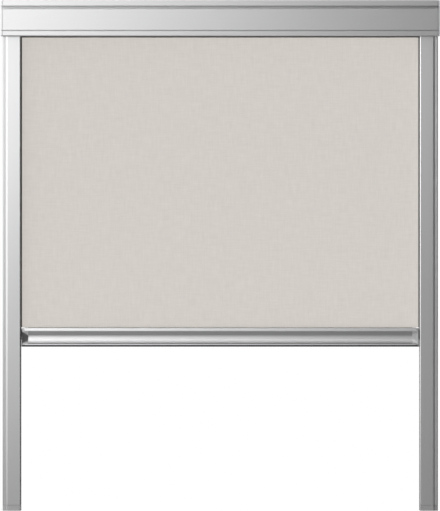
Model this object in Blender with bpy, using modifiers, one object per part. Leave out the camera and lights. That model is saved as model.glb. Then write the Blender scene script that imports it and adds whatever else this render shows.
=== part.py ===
"""Skylight window blind: a sprung blackout blind in an aluminium frame.

The blind hangs on the face of a roof window's sash. A headbox holds the roller, two side rails
guide the cloth's edges, and a bottom bar with a finger groove is pulled down or pushed up. Guide
shoes with felt brakes ride in the rails and hold the bar where it is left.

Frame: X to the right, Y towards the window, Z up. The wall plane is y = 0 and the room is on the
-Y side. The origin is in the middle of the headbox's upper rear lip, which lies against the sash.
Sections are written as points (v, d): v is the distance from the wall plane towards the room and
d the distance down from the top of that section. Rails are written as (u, v): u is the distance
inwards from the rail's outer edge.
"""
import math

import bmesh
import bpy
from mathutils import Matrix, Vector

MM = 0.001

# Gaps
CLEARANCE = 0.3 * MM          # between pieces that touch
RUNNING_GAP = 0.5 * MM        # between pieces that slide past each other

# Headbox
HEADBOX_WIDTH = 610 * MM
WALL = 1.3 * MM               # all extruded walls
TOP_STRIP_HEIGHT = 7.4 * MM
TOP_STRIP_SETBACK = 3.0 * MM
SHADOW_GROOVE_HEIGHT = 4.7 * MM
SHADOW_GROOVE_DEPTH = 6.8 * MM
FASCIA_HEIGHT = 29.1 * MM
FINE_GROOVE_HEIGHT = 1.8 * MM
FINE_GROOVE_DEPTH = 1.3 * MM
LOWER_STRIP_HEIGHT = 6.4 * MM
FASCIA_EDGE_RADIUS = 1.2 * MM
HOOK_ENGAGE = 2.4 * MM        # how far the groove wall reaches down behind the front cover
HOOK_THICKNESS = 1.2 * MM
END_CAP_THICKNESS = 2.4 * MM
REAR_LIP_HEIGHT = 10.0 * MM
BRACKET_CAVITY = 2.2 * MM
BOTTOM_SHELF_DEPTH = 8.1 * MM
SEAL_CARRIER_HEIGHT = 5.5 * MM
HEADBOX_SEAL_THICKNESS = 1.9 * MM
HEADBOX_SEAL_DROP = 2.0 * MM
PORT_BORE_RADIUS = 1.5 * MM
PORT_WALL = 1.1 * MM
PORT_SLOT_HALF_ANGLE = 25
LOWER_PORT_RISE = 6.5 * MM    # above the headbox's underside
UPPER_PORT_SETBACK = 8.0 * MM  # behind the top strip's face

# Brackets
BRACKET_THICKNESS = 1.2 * MM
BRACKET_WIDTH = 30.0 * MM
BRACKET_INSET = 30.0 * MM     # from the headbox's end to the bracket's middle
BRACKET_TONGUE = 5.0 * MM     # how far each tongue reaches behind its lip
BRACKET_HOLE_RADIUS = 2.2 * MM
BRACKET_HOLE_SPACING = 15.0 * MM

# Side rails
RAIL_INSET = 2.0 * MM         # from the headbox's end to the rail's outer edge
RAIL_WIDTH = 25.4 * MM
RAIL_DEPTH = 21.3 * MM
RAIL_LENGTH = 652.1 * MM
RAIL_FLANGE_WIDTH = 4.2 * MM
RAIL_FLANGE_DEPTH = 17.0 * MM
RAIL_FLANGE_RADIUS = 1.8 * MM
RAIL_CHAMFER_WIDTH = 2.8 * MM
RAIL_EDGE_RADIUS = 1.7 * MM
RAIL_RECEIVER_LENGTH = 4.5 * MM
RAIL_WEB_POSITION = 12.5 * MM
RAIL_WEB_DEPTH = 14.5 * MM
RAIL_LIP_WIDTH = 2.1 * MM
RAIL_LIP_THICKNESS = 1.2 * MM
RAIL_BASE_SETBACK = 0.7 * MM  # the base's inner edge behind the cover's
CHANNEL_GAP = 4.4 * MM
RAIL_HOLE_RADIUS = 2.2 * MM
RAIL_HOLE_INSET = 40.0 * MM
RAIL_HOLE_COUNT = 3
PILE_THICKNESS = 1.4 * MM
PILE_PROUD = 0.7 * MM         # beyond the rail's inner edge, over the cloth
FOOT_HEIGHT = 7.8 * MM
FOOT_LINE_DROP = 3.4 * MM
FOOT_LINE_SIZE = 0.6 * MM
FOOT_SHORT_PLUG = 5.0 * MM
FOOT_LONG_PLUG = 11.0 * MM
SPIGOT_LENGTH = 11.0 * MM
SPIGOT_THICKNESS = 1.6 * MM
SPIGOT_WIDTH = 7.6 * MM

# Cloth and roller
CLOTH_DEPTH = 10.6 * MM       # the cloth's plane, from the wall plane
CLOTH_THICKNESS = 0.4 * MM
CLOTH_EDGE_GAP = 1.8 * MM     # from the cloth's edge to the rail's web
TUBE_RADIUS = 11.0 * MM
TUBE_WALL = 1.0 * MM
WINDING_PITCH = 0.85 * MM
WINDING_TURNS = 3.75
WINDING_STEPS = 24
ROLL_CLEARANCE = 2.7 * MM     # from the winding to the inside of the fascia
ROLLER_NEST = 3.7 * MM        # the hook's tip reaches this far below the winding's top
DRAWN_LENGTH = 406.05 * MM     # cloth that shows below the headbox
JOURNAL_RADIUS = 3.0 * MM
BUSH_WALL = 1.4 * MM
BOSS_WALL = 1.2 * MM
BOSS_LENGTH = 4.0 * MM
IDLE_PIN_LENGTH = 18.0 * MM
PLUG_FLANGE = 1.2 * MM
PLUG_LENGTH = 12.0 * MM
SHAFT_LENGTH = 245.0 * MM
SHAFT_FLATS = 3.6 * MM
HUB_LENGTH = 8.0 * MM
HUB_OFFSET = 22.0 * MM        # from the shaft's end bearing to the fixed hub
SPRING_WIRE_RADIUS = 0.6 * MM
SPRING_MEAN_RADIUS = 6.4 * MM
SPRING_TURNS = 18
SPRING_STEPS = 8

# Bottom bar
BAR_REAR = 5.5 * MM
BAR_FRONT = 20.5 * MM
BAR_HEIGHT = 23.9 * MM
BAR_FLANGE_HEIGHT = 4.2 * MM
BAR_FLANGE_LEAN = 0.5 * MM     # the flange's upper edge behind its lower edge
BAR_EDGE_RADIUS = 1.1 * MM
BAR_EDGE_BEVEL = 0.3 * MM
GROOVE_CREASE_DROP = 10.1 * MM
GROOVE_CREASE_SETBACK = 7.7 * MM
GROOVE_FLOOR_SAG = 1.55 * MM
GROOVE_FOOT_DROP = 21.1 * MM
GROOVE_FOOT_SETBACK = 3.1 * MM
BAR_LIP_HEIGHT = 1.7 * MM
HEM_SLOT_WIDTH = 1.6 * MM
HEM_CHAMBER_RADIUS = 2.4 * MM
HEM_CHAMBER_DROP = 4.6 * MM
HEM_ROD_RADIUS = 1.8 * MM
SEAL_SLOT_CENTRE = 10.3 * MM
SEAL_SLOT_WIDTH = 4.2 * MM
SEAL_SLOT_HEIGHT = 1.2 * MM
SEAL_NECK_WIDTH = 1.8 * MM
BAR_SEAL_DROP = 2.2 * MM
BAR_SEAL_INSET = 1.0 * MM
BAR_END_GAP = 1.1 * MM        # from the rail's inner edge to the bar's end
BAR_CAP_THICKNESS = 3.7 * MM
BAR_CAP_HIP = 0.4 * MM
BAR_CAP_CHAMFER = (1.2 * MM, 1.5 * MM)  # along the bar and in depth
BAR_CAP_SPIGOT = 10.0 * MM
STOP_REACH = 5.6 * MM         # how far the cap's sloped stop reaches into the finger groove
STOP_EDGE = 0.5 * MM          # the stop's thickness at its thin end
TONGUE_TOP = 2.0 * MM
TONGUE_HEIGHT = 14.0 * MM
SHOE_TOP = 1.0 * MM
SHOE_HEIGHT = 16.0 * MM
SHOE_REAR = 4.6 * MM
SHOE_DEPTH = 9.0 * MM
SHOE_GRIP = 7.4 * MM          # how far the tongue reaches into the shoe
BRAKE_PAD_THICKNESS = 1.0 * MM
BRAKE_SPRING_THICKNESS = 0.4 * MM
CLOSED_MARGIN = 5.0 * MM      # from the seal to the rails' lower ends when the blind is closed

# Fasteners
SCREW_SHANK_RADIUS = 1.2 * MM
SCREW_HEAD_RADIUS = 2.6 * MM
SCREW_HEAD_DEPTH = 1.4 * MM
SCREW_LENGTH = 11.0 * MM
SCREW_CROSS_LENGTH = 3.0 * MM
SCREW_CROSS_WIDTH = 0.7 * MM
SCREW_CROSS_DEPTH = 0.9 * MM

# Places that follow from the sizes above
ALONG_X = (math.radians(90), 0, math.radians(90))
ALONG_Y = (math.radians(90), 0, 0)
TURN_TO_X = (0, math.radians(90), 0)

HEADBOX_HEIGHT = (TOP_STRIP_HEIGHT + SHADOW_GROOVE_HEIGHT + FASCIA_HEIGHT
                  + FINE_GROOVE_HEIGHT + LOWER_STRIP_HEIGHT)
HEADBOX_TOP_Z = REAR_LIP_HEIGHT / 2
HEADBOX_UNDERSIDE_Z = HEADBOX_TOP_Z - HEADBOX_HEIGHT
ROLL_RADIUS = TUBE_RADIUS + CLEARANCE + CLOTH_THICKNESS / 2 + WINDING_PITCH * WINDING_TURNS
ROLLER_DEPTH = CLOTH_DEPTH + ROLL_RADIUS
HEADBOX_DEPTH = ROLLER_DEPTH + ROLL_RADIUS + ROLL_CLEARANCE + WALL
COVER_TOP_DROP = TOP_STRIP_HEIGHT + SHADOW_GROOVE_HEIGHT
HOOK_DROP = COVER_TOP_DROP + HOOK_ENGAGE + CLEARANCE
ROLLER_DROP = HOOK_DROP + HOOK_THICKNESS + ROLL_RADIUS - ROLLER_NEST
ROLLER_Z = HEADBOX_TOP_Z - ROLLER_DROP
CAP_INNER_X = HEADBOX_WIDTH / 2 - END_CAP_THICKNESS
HEADBOX_BODY_LENGTH = 2 * (CAP_INNER_X - CLEARANCE)
PORT_RADIUS = PORT_BORE_RADIUS + PORT_WALL
REAR_WALL_OUTER = WALL + BRACKET_CAVITY
REAR_WALL_INNER = REAR_WALL_OUTER + WALL
LOWER_PORT = (REAR_WALL_INNER + PORT_BORE_RADIUS, HEADBOX_HEIGHT - LOWER_PORT_RISE)
UPPER_PORT = (HEADBOX_DEPTH - TOP_STRIP_SETBACK - UPPER_PORT_SETBACK, WALL + PORT_BORE_RADIUS)

RAIL_OUTER_X = HEADBOX_WIDTH / 2 - RAIL_INSET
RAIL_INNER_X = RAIL_OUTER_X - RAIL_WIDTH
RAIL_TOP_Z = HEADBOX_UNDERSIDE_Z - CLEARANCE
RAIL_BOTTOM_Z = RAIL_TOP_Z - RAIL_LENGTH
FOOT_TOP_Z = RAIL_BOTTOM_Z - CLEARANCE
FOOT_BOTTOM_Z = FOOT_TOP_Z - FOOT_HEIGHT
CHANNEL_REAR = CLOTH_DEPTH - CHANNEL_GAP / 2
CHANNEL_FRONT = CLOTH_DEPTH + CHANNEL_GAP / 2
WEB_INNER = RAIL_WEB_POSITION + WALL
PILE_FRONT = CHANNEL_FRONT - CLEARANCE
PILE_REAR = PILE_FRONT - PILE_THICKNESS

CLOTH_HALF_WIDTH = RAIL_OUTER_X - WEB_INNER - CLOTH_EDGE_GAP
BAR_TOP_Z = HEADBOX_UNDERSIDE_Z - DRAWN_LENGTH
BAR_CAP_OUTER_X = RAIL_INNER_X - BAR_END_GAP
BAR_CAP_INNER_X = BAR_CAP_OUTER_X - BAR_CAP_THICKNESS
BAR_HALF_LENGTH = BAR_CAP_INNER_X - CLEARANCE
TUBE_HALF_LENGTH = CAP_INNER_X - BOSS_LENGTH - PLUG_FLANGE - 2 * RUNNING_GAP
PLUG_RADIUS = TUBE_RADIUS - TUBE_WALL - CLEARANCE
PLUG_BORE = JOURNAL_RADIUS + CLEARANCE
SPRING_INNER_RADIUS = SPRING_MEAN_RADIUS * math.cos(math.pi / SPRING_STEPS) - SPRING_WIRE_RADIUS
HUB_RADIUS = SPRING_INNER_RADIUS - CLEARANCE
TONGUE_REAR = CHANNEL_REAR + RUNNING_GAP
TONGUE_FRONT = PILE_REAR - RUNNING_GAP
SHOE_OUTER_U = WEB_INNER + RUNNING_GAP
SHOE_INNER_U = RAIL_WIDTH - RAIL_LIP_WIDTH - RUNNING_GAP
BAR_TRAVEL_DOWN = BAR_TOP_Z - BAR_HEIGHT - BAR_SEAL_DROP - FOOT_BOTTOM_Z - CLOSED_MARGIN
BAR_TRAVEL_UP = DRAWN_LENGTH - HEADBOX_SEAL_DROP - 2 * RUNNING_GAP


def clear_scene():
    """Remove what a new file starts with."""
    for thing in list(bpy.data.objects):
        bpy.data.objects.remove(thing, do_unlink=True)


def new_collection(name):
    """A collection linked to the scene."""
    collection = bpy.data.collections.new(name)
    bpy.context.scene.collection.children.link(collection)
    return collection


def new_look(name, colour, roughness, metallic=0.0):
    """A plain Principled material."""
    look = bpy.data.materials.new(name)
    look.use_nodes = True
    shader = look.node_tree.nodes["Principled BSDF"]
    shader.inputs["Base Color"].default_value = (*colour, 1.0)
    shader.inputs["Roughness"].default_value = roughness
    shader.inputs["Metallic"].default_value = metallic
    return look


clear_scene()
BLIND = new_collection("skylight_blind")
CUTTERS = new_collection("skylight_blind_cutters")

ALUMINIUM = new_look("anodised_aluminium", (0.66, 0.66, 0.67), 0.36, 1.0)
GREY_PLASTIC = new_look("grey_plastic", (0.50, 0.50, 0.51), 0.45)
WHITE_PLASTIC = new_look("white_acetal", (0.78, 0.78, 0.75), 0.4)
STEEL = new_look("zinc_steel", (0.58, 0.58, 0.56), 0.35, 1.0)
SPRING_STEEL = new_look("spring_steel", (0.30, 0.30, 0.31), 0.35, 1.0)
CLOTH = new_look("pale_beige_cloth", (0.64, 0.61, 0.565), 0.9)
BLACK_PILE = new_look("black_pile", (0.02, 0.02, 0.02), 0.95)
BLACK_RUBBER = new_look("black_rubber", (0.025, 0.025, 0.025), 0.7)
FELT = new_look("grey_felt", (0.12, 0.12, 0.12), 0.95)


def place(name, mesh, look, location=(0, 0, 0), rotation=(0, 0, 0), collection=None):
    """Make an object of a mesh and put it in its place."""
    mesh.name = name
    mesh.materials.clear()
    if look:
        mesh.materials.append(look)
    piece = bpy.data.objects.new(name, mesh)
    (collection or BLIND).objects.link(piece)
    piece.location = location
    piece.rotation_euler = rotation
    return piece


def finish_bmesh(shape, name):
    """Point the faces out and turn the shape into a mesh."""
    bmesh.ops.recalc_face_normals(shape, faces=shape.faces)
    mesh = bpy.data.meshes.new(name)
    shape.to_mesh(mesh)
    shape.free()
    return mesh


def prism(name, loops, length, look, location=(0, 0, 0), rotation=ALONG_X, collection=None):
    """Extrude an outline, with any holes in it, evenly to both sides of its plane."""
    curve = bpy.data.curves.new(name + "_outline", "CURVE")
    curve.dimensions = "2D"
    curve.fill_mode = "BOTH"
    curve.extrude = length / 2
    for loop in loops:
        spline = curve.splines.new("POLY")
        spline.points.add(len(loop) - 1)
        for point, (x, y) in zip(spline.points, loop):
            point.co = (x, y, 0, 1)
        spline.use_cyclic_u = True
    outline = bpy.data.objects.new(name + "_outline", curve)
    bpy.context.scene.collection.objects.link(outline)
    mesh = bpy.data.meshes.new_from_object(outline.evaluated_get(bpy.context.evaluated_depsgraph_get()))
    bpy.data.objects.remove(outline, do_unlink=True)
    shape = bmesh.new()
    shape.from_mesh(mesh)
    bmesh.ops.remove_doubles(shape, verts=shape.verts, dist=0.00001)
    return place(name, finish_bmesh(shape, name), look, location, rotation, collection)


def box(name, low, high, look, bevel=0.0, collection=None):
    """A box between two corners, with its edges rounded if a bevel is given."""
    size = [b - a for a, b in zip(low, high)]
    centre = [(a + b) / 2 for a, b in zip(low, high)]
    shape = bmesh.new()
    bmesh.ops.create_cube(shape, size=1.0, matrix=Matrix.Diagonal((*size, 1.0)))
    piece = place(name, finish_bmesh(shape, name), look, centre, (0, 0, 0), collection)
    if bevel:
        rounding = piece.modifiers.new("rounded_edges", "BEVEL")
        rounding.width = bevel
        rounding.segments = 1
    return piece


def cylinder(name, radius, length, look, location, rotation, end_radius=None, collection=None):
    """A cylinder or cone about its own Z, turned into place."""
    shape = bmesh.new()
    bmesh.ops.create_cone(shape, cap_ends=True, segments=24, radius1=radius,
                          radius2=radius if end_radius is None else end_radius, depth=length)
    piece = place(name, finish_bmesh(shape, name), look, location, rotation, collection)
    piece.data.set_sharp_from_angle(angle=math.radians(40))
    return piece


def turned(name, profile, look, x, closed=False, steps=32, centre=None):
    """Turn a profile of (radius, distance along +X) points about the roller's axis or another."""
    shape = bmesh.new()
    points = [shape.verts.new((radius, 0, along)) for radius, along in profile]
    for first, second in zip(points, points[1:]):
        shape.edges.new((first, second))
    if closed:
        shape.edges.new((points[-1], points[0]))
    mesh = bpy.data.meshes.new(name)
    shape.to_mesh(mesh)
    shape.free()
    y, z = centre or (-ROLLER_DEPTH, ROLLER_Z)
    piece = place(name, mesh, look, (x, y, z), TURN_TO_X)
    lathe = piece.modifiers.new("lathe", "SCREW")
    lathe.axis = "Z"
    lathe.angle = math.radians(360)
    lathe.steps = steps
    lathe.render_steps = steps
    lathe.use_merge_vertices = True
    lathe.merge_threshold = 0.00001
    return piece


def combine(piece, tool, operation):
    """Cut a tool out of a piece, or join it on, and put the tool with the cutters."""
    for collection in list(tool.users_collection):
        collection.objects.unlink(tool)
    CUTTERS.objects.link(tool)
    tool.hide_render = True
    tool.display_type = "WIRE"
    boolean = piece.modifiers.new(tool.name, "BOOLEAN")
    boolean.operation = operation
    boolean.object = tool
    boolean.solver = "EXACT"


def cut(piece, tool):
    combine(piece, tool, "DIFFERENCE")


def join(piece, tool):
    combine(piece, tool, "UNION")


def arc(centre, radius, start, end, steps):
    """Points along an arc, from one angle in degrees to another."""
    angles = [math.radians(start + (end - start) * step / steps) for step in range(steps + 1)]
    return [(centre[0] + radius * math.cos(a), centre[1] + radius * math.sin(a)) for a in angles]


def section(points):
    """Turn (v, d) points into the plane of a prism that runs along X."""
    return [(-v, -d) for v, d in points]


def plan(points, side):
    """Turn a rail's (u, v) points into the plane of a prism that runs along Z."""
    return [(-side * u, -v) for u, v in points]


def band(path, thickness):
    """The outline of a strip of even thickness along an open path, with mitred corners."""
    left = []
    right = []
    for index, point in enumerate(path):
        before = Vector(path[max(index - 1, 0)])
        here = Vector(point)
        after = Vector(path[min(index + 1, len(path) - 1)])
        along_in = (here - before).normalized() if index else (after - here).normalized()
        along_out = (after - here).normalized() if index < len(path) - 1 else along_in
        bisector = (along_in + along_out).normalized()
        across = Vector((-bisector.y, bisector.x))
        reach = thickness / 2 / max(bisector.dot(along_in), 0.3)
        left.append(tuple(here + across * reach))
        right.append(tuple(here - across * reach))
    return left + right[::-1]


def ride_on(pieces, carrier):
    """Parent the pieces to an empty and leave them where they are."""
    for piece in pieces:
        piece.parent = carrier
        piece.matrix_parent_inverse = Matrix.Translation(carrier.location).inverted()


def new_carrier(name, location):
    """An empty on a joint's axis."""
    carrier = bpy.data.objects.new(name, None)
    carrier.location = location
    carrier.empty_display_size = 0.02
    BLIND.objects.link(carrier)
    return carrier


# Headbox

def screw_port(centre, wall_angle, slot_angle):
    """The part of an outline that runs round a split screw port standing on a wall."""
    half = math.degrees(math.acos(PORT_BORE_RADIUS / PORT_RADIUS))
    slot_start = slot_angle - PORT_SLOT_HALF_ANGLE
    slot_end = slot_angle + PORT_SLOT_HALF_ANGLE
    first = arc(centre, PORT_RADIUS, wall_angle + half, slot_start, 4)
    inside = arc(centre, PORT_BORE_RADIUS, slot_start, slot_end - 360, 12)
    last = arc(centre, PORT_RADIUS, slot_end, wall_angle + 360 - half, 5)
    return first + inside + last


def make_headbox_back():
    """The shell against the sash, with lips for the brackets and the nose of the top strip."""
    strip = HEADBOX_DEPTH - TOP_STRIP_SETBACK
    groove = HEADBOX_DEPTH - SHADOW_GROOVE_DEPTH
    hook = COVER_TOP_DROP + HOOK_ENGAGE
    bottom = HEADBOX_HEIGHT
    outline = [(0, 0), (strip, 0), (strip, TOP_STRIP_HEIGHT), (groove, TOP_STRIP_HEIGHT),
               (groove, hook), (groove - WALL, hook), (groove - WALL, TOP_STRIP_HEIGHT - WALL),
               (strip - WALL, TOP_STRIP_HEIGHT - WALL), (strip - WALL, WALL)]
    outline += screw_port(UPPER_PORT, -90, 90)
    outline += [(REAR_WALL_INNER, WALL)]
    outline += screw_port(LOWER_PORT, 180, 315)
    outline += [(REAR_WALL_INNER, bottom - WALL), (BOTTOM_SHELF_DEPTH, bottom - WALL),
                (BOTTOM_SHELF_DEPTH, bottom), (0, bottom), (0, bottom - REAR_LIP_HEIGHT),
                (WALL, bottom - REAR_LIP_HEIGHT), (WALL, bottom - WALL),
                (REAR_WALL_OUTER, bottom - WALL), (REAR_WALL_OUTER, WALL), (WALL, WALL),
                (WALL, REAR_LIP_HEIGHT), (0, REAR_LIP_HEIGHT)]
    return prism("headbox_back", [section(outline)], HEADBOX_BODY_LENGTH, ALUMINIUM,
                 (0, 0, HEADBOX_TOP_Z))


def fascia_front_points():
    """The front cover's visible outline, from its upper edge to its lower rear corner."""
    groove_top = COVER_TOP_DROP + FASCIA_HEIGHT
    groove_bottom = groove_top + FINE_GROOVE_HEIGHT
    groove_floor = HEADBOX_DEPTH - FINE_GROOVE_DEPTH
    corner = (HEADBOX_DEPTH - FASCIA_EDGE_RADIUS, HEADBOX_HEIGHT - FASCIA_EDGE_RADIUS)
    bevel = FINE_GROOVE_DEPTH / 3
    points = [(HEADBOX_DEPTH - bevel, COVER_TOP_DROP), (HEADBOX_DEPTH, COVER_TOP_DROP + bevel),
              (HEADBOX_DEPTH, groove_top), (groove_floor, groove_top + bevel),
              (groove_floor, groove_bottom - bevel), (HEADBOX_DEPTH, groove_bottom)]
    return points + arc(corner, FASCIA_EDGE_RADIUS, 0, 90, 4)


def seal_carrier_depth():
    """Where the front cover's bottom ends, just in front of the seal."""
    return CLOTH_DEPTH + CLOTH_THICKNESS / 2 + HEADBOX_SEAL_THICKNESS + 2 * CLEARANCE


def make_headbox_front():
    """The clip-on fascia, hooked over the back shell and turned in underneath."""
    inner = HEADBOX_DEPTH - WALL
    groove_top = COVER_TOP_DROP + FASCIA_HEIGHT
    groove_bottom = groove_top + FINE_GROOVE_HEIGHT
    leg = HEADBOX_DEPTH - SHADOW_GROOVE_DEPTH + CLEARANCE
    tip = leg - WALL - 2 * CLEARANCE
    tip_bottom = HOOK_DROP + HOOK_THICKNESS
    carrier = seal_carrier_depth()
    outline = fascia_front_points()
    outline += [(carrier, HEADBOX_HEIGHT), (carrier, HEADBOX_HEIGHT - SEAL_CARRIER_HEIGHT),
                (carrier + WALL, HEADBOX_HEIGHT - SEAL_CARRIER_HEIGHT),
                (carrier + WALL, HEADBOX_HEIGHT - WALL), (inner, HEADBOX_HEIGHT - WALL),
                (inner, groove_bottom + WALL), (inner - FINE_GROOVE_DEPTH, groove_bottom),
                (inner - FINE_GROOVE_DEPTH, groove_top), (inner, groove_top - WALL),
                (inner, COVER_TOP_DROP + WALL), (leg + WALL, COVER_TOP_DROP + WALL),
                (leg + WALL, tip_bottom), (tip, tip_bottom), (tip, HOOK_DROP),
                (leg, HOOK_DROP), (leg, COVER_TOP_DROP)]
    return prism("headbox_front", [section(outline)], HEADBOX_BODY_LENGTH, ALUMINIUM,
                 (0, 0, HEADBOX_TOP_Z))


def make_headbox_seal():
    """The pile strip in front of the cloth, which shows as a dark line under the headbox."""
    rear = CLOTH_DEPTH + CLOTH_THICKNESS / 2 + CLEARANCE
    end = RAIL_INNER_X - PILE_PROUD - CLEARANCE
    low = (-end, -rear - HEADBOX_SEAL_THICKNESS, HEADBOX_UNDERSIDE_Z - HEADBOX_SEAL_DROP)
    high = (end, -rear, HEADBOX_UNDERSIDE_Z + SEAL_CARRIER_HEIGHT - WALL)
    return box("headbox_seal", low, high, BLACK_PILE)


def make_end_cap(side, name):
    """A moulded cap with the roller's boss, two countersunk holes and a spigot for the rail."""
    strip = HEADBOX_DEPTH - TOP_STRIP_SETBACK
    groove = HEADBOX_DEPTH - SHADOW_GROOVE_DEPTH
    outline = [(0, 0), (strip, 0), (strip, TOP_STRIP_HEIGHT), (groove, TOP_STRIP_HEIGHT),
               (groove, COVER_TOP_DROP)]
    outline += fascia_front_points()
    outline += [(0, HEADBOX_HEIGHT)]
    middle = side * (CAP_INNER_X + END_CAP_THICKNESS / 2)
    cap = prism(name, [section(outline)], END_CAP_THICKNESS, GREY_PLASTIC,
                (middle, 0, HEADBOX_TOP_Z))
    boss_radius = JOURNAL_RADIUS + CLEARANCE + BUSH_WALL + CLEARANCE + BOSS_WALL
    overlap = END_CAP_THICKNESS / 2
    boss_x = side * (CAP_INNER_X + overlap / 2 - BOSS_LENGTH / 2)
    axis = (-ROLLER_DEPTH, ROLLER_Z)
    join(cap, cylinder(name + "_boss", boss_radius, BOSS_LENGTH + overlap, None,
                       (boss_x, *axis), TURN_TO_X))
    spigot_outer = CAP_INNER_X + overlap
    spigot_inner = RAIL_OUTER_X - WALL - CLEARANCE - SPIGOT_WIDTH
    spigot_front = CHANNEL_REAR + RUNNING_GAP + CLEARANCE
    spigot_x = sorted((side * spigot_inner, side * (RAIL_OUTER_X - WALL - CLEARANCE)))
    shelf_x = sorted((side * spigot_inner, side * spigot_outer))
    shelf_z = HEADBOX_UNDERSIDE_Z + WALL + CLEARANCE
    join(cap, box(name + "_spigot", (spigot_x[0], -spigot_front - SPIGOT_THICKNESS,
                                     HEADBOX_UNDERSIDE_Z - SPIGOT_LENGTH),
                  (spigot_x[1], -spigot_front, shelf_z + WALL), None))
    join(cap, box(name + "_shelf", (shelf_x[0], -spigot_front - SPIGOT_THICKNESS, shelf_z),
                  (shelf_x[1], -spigot_front, shelf_z + 3 * WALL), None))
    bore_x = side * (CAP_INNER_X - BOSS_LENGTH / 2)
    if side < 0:
        bore_radius = boss_radius - BOSS_WALL
        cut(cap, cylinder(name + "_bore", bore_radius, BOSS_LENGTH, None,
                          (bore_x + CLEARANCE, *axis), TURN_TO_X))
    else:
        half_flat = SHAFT_FLATS / 2 + CLEARANCE
        half_tang = JOURNAL_RADIUS + CLEARANCE
        low = (bore_x - BOSS_LENGTH / 2 - overlap, axis[0] - half_flat, axis[1] - half_tang)
        high = (bore_x + BOSS_LENGTH / 2, axis[0] + half_flat, axis[1] + half_tang)
        cut(cap, box(name + "_pocket", low, high, None))
    for place_name, (depth, drop) in (("upper", UPPER_PORT), ("lower", LOWER_PORT)):
        centre = (-depth, HEADBOX_TOP_Z - drop)
        cut(cap, cylinder(name + "_hole_" + place_name, SCREW_SHANK_RADIUS + CLEARANCE,
                          3 * END_CAP_THICKNESS, None, (middle, *centre), TURN_TO_X))
        sink_radius = SCREW_HEAD_RADIUS + CLEARANCE
        flare = sink_radius / SCREW_HEAD_DEPTH * CLEARANCE
        sink = cylinder(name + "_sink_" + place_name, SCREW_SHANK_RADIUS + CLEARANCE,
                        SCREW_HEAD_DEPTH + CLEARANCE, None,
                        (side * (HEADBOX_WIDTH / 2 - SCREW_HEAD_DEPTH / 2 + CLEARANCE / 2), *centre),
                        (0, side * math.radians(90), 0), end_radius=sink_radius + flare)
        cut(cap, sink)
    return cap


def make_cap_screw(side, port, name):
    """A countersunk self-tapping screw with a cross recess."""
    depth, drop = port
    y, z = -depth, HEADBOX_TOP_Z - drop
    head = SCREW_HEAD_DEPTH
    profile = [(0, 0), (SCREW_HEAD_RADIUS, 0), (SCREW_SHANK_RADIUS, -head),
               (SCREW_SHANK_RADIUS, -SCREW_LENGTH + SCREW_SHANK_RADIUS), (0, -SCREW_LENGTH)]
    outer_x = HEADBOX_WIDTH / 2 - CLEARANCE / 3
    if side < 0:
        profile = [(radius, -along) for radius, along in reversed(profile)]
    screw = turned(name, profile, STEEL, side * outer_x, steps=16, centre=(y, z))
    recess_x = side * (outer_x - SCREW_CROSS_DEPTH / 2 + CLEARANCE)
    half_x = SCREW_CROSS_DEPTH / 2 + CLEARANCE
    long_half = SCREW_CROSS_LENGTH / 2
    short_half = SCREW_CROSS_WIDTH / 2
    for arm, (half_y, half_z) in (("a", (long_half, short_half)), ("b", (short_half, long_half))):
        cut(screw, box(name + "_recess_" + arm, (recess_x - half_x, y - half_y, z - half_z),
                       (recess_x + half_x, y + half_y, z + half_z), None))
    return screw


def make_bracket(side, name):
    """A sheet steel clip whose two tongues reach behind the headbox's rear lips."""
    behind_lip = WALL + CLEARANCE + BRACKET_THICKNESS / 2
    on_sash = BRACKET_THICKNESS / 2
    bend = behind_lip - on_sash
    upper = REAR_LIP_HEIGHT + CLEARANCE + BRACKET_THICKNESS / 2
    lower = HEADBOX_HEIGHT - upper
    path = [(behind_lip, REAR_LIP_HEIGHT - BRACKET_TONGUE), (behind_lip, upper),
            (on_sash, upper + bend), (on_sash, lower - bend), (behind_lip, lower),
            (behind_lip, HEADBOX_HEIGHT - REAR_LIP_HEIGHT + BRACKET_TONGUE)]
    x = side * (HEADBOX_WIDTH / 2 - BRACKET_INSET)
    bracket = prism(name, [section(band(path, BRACKET_THICKNESS))], BRACKET_WIDTH, STEEL,
                    (x, 0, HEADBOX_TOP_Z))
    for row in (-1, 1):
        z = HEADBOX_TOP_Z - HEADBOX_HEIGHT / 2 + row * BRACKET_HOLE_SPACING / 2
        cut(bracket, cylinder(f"{name}_hole_{row}", BRACKET_HOLE_RADIUS, 6 * BRACKET_THICKNESS, None,
                              (x, 0, z), ALONG_Y))
    return bracket


# Side rails

def chamfer_start():
    """Where the cover's sloped edge begins, beside the base's flange, as (u, v)."""
    return (RAIL_FLANGE_WIDTH + CLEARANCE / 3, RAIL_FLANGE_DEPTH + CLEARANCE)


def rail_front_points():
    """The cover's visible outline, from the flange over the sloped edge to the inner edge."""
    shoulder = RAIL_FLANGE_WIDTH + RAIL_CHAMFER_WIDTH
    corner = (RAIL_WIDTH - RAIL_EDGE_RADIUS, RAIL_DEPTH - RAIL_EDGE_RADIUS)
    return [chamfer_start(), (shoulder, RAIL_DEPTH)] + arc(corner, RAIL_EDGE_RADIUS, 90, 0, 5)


def receiver_u():
    """The inner side of the base's receiver leg."""
    return RAIL_FLANGE_WIDTH + 2 * WALL


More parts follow.
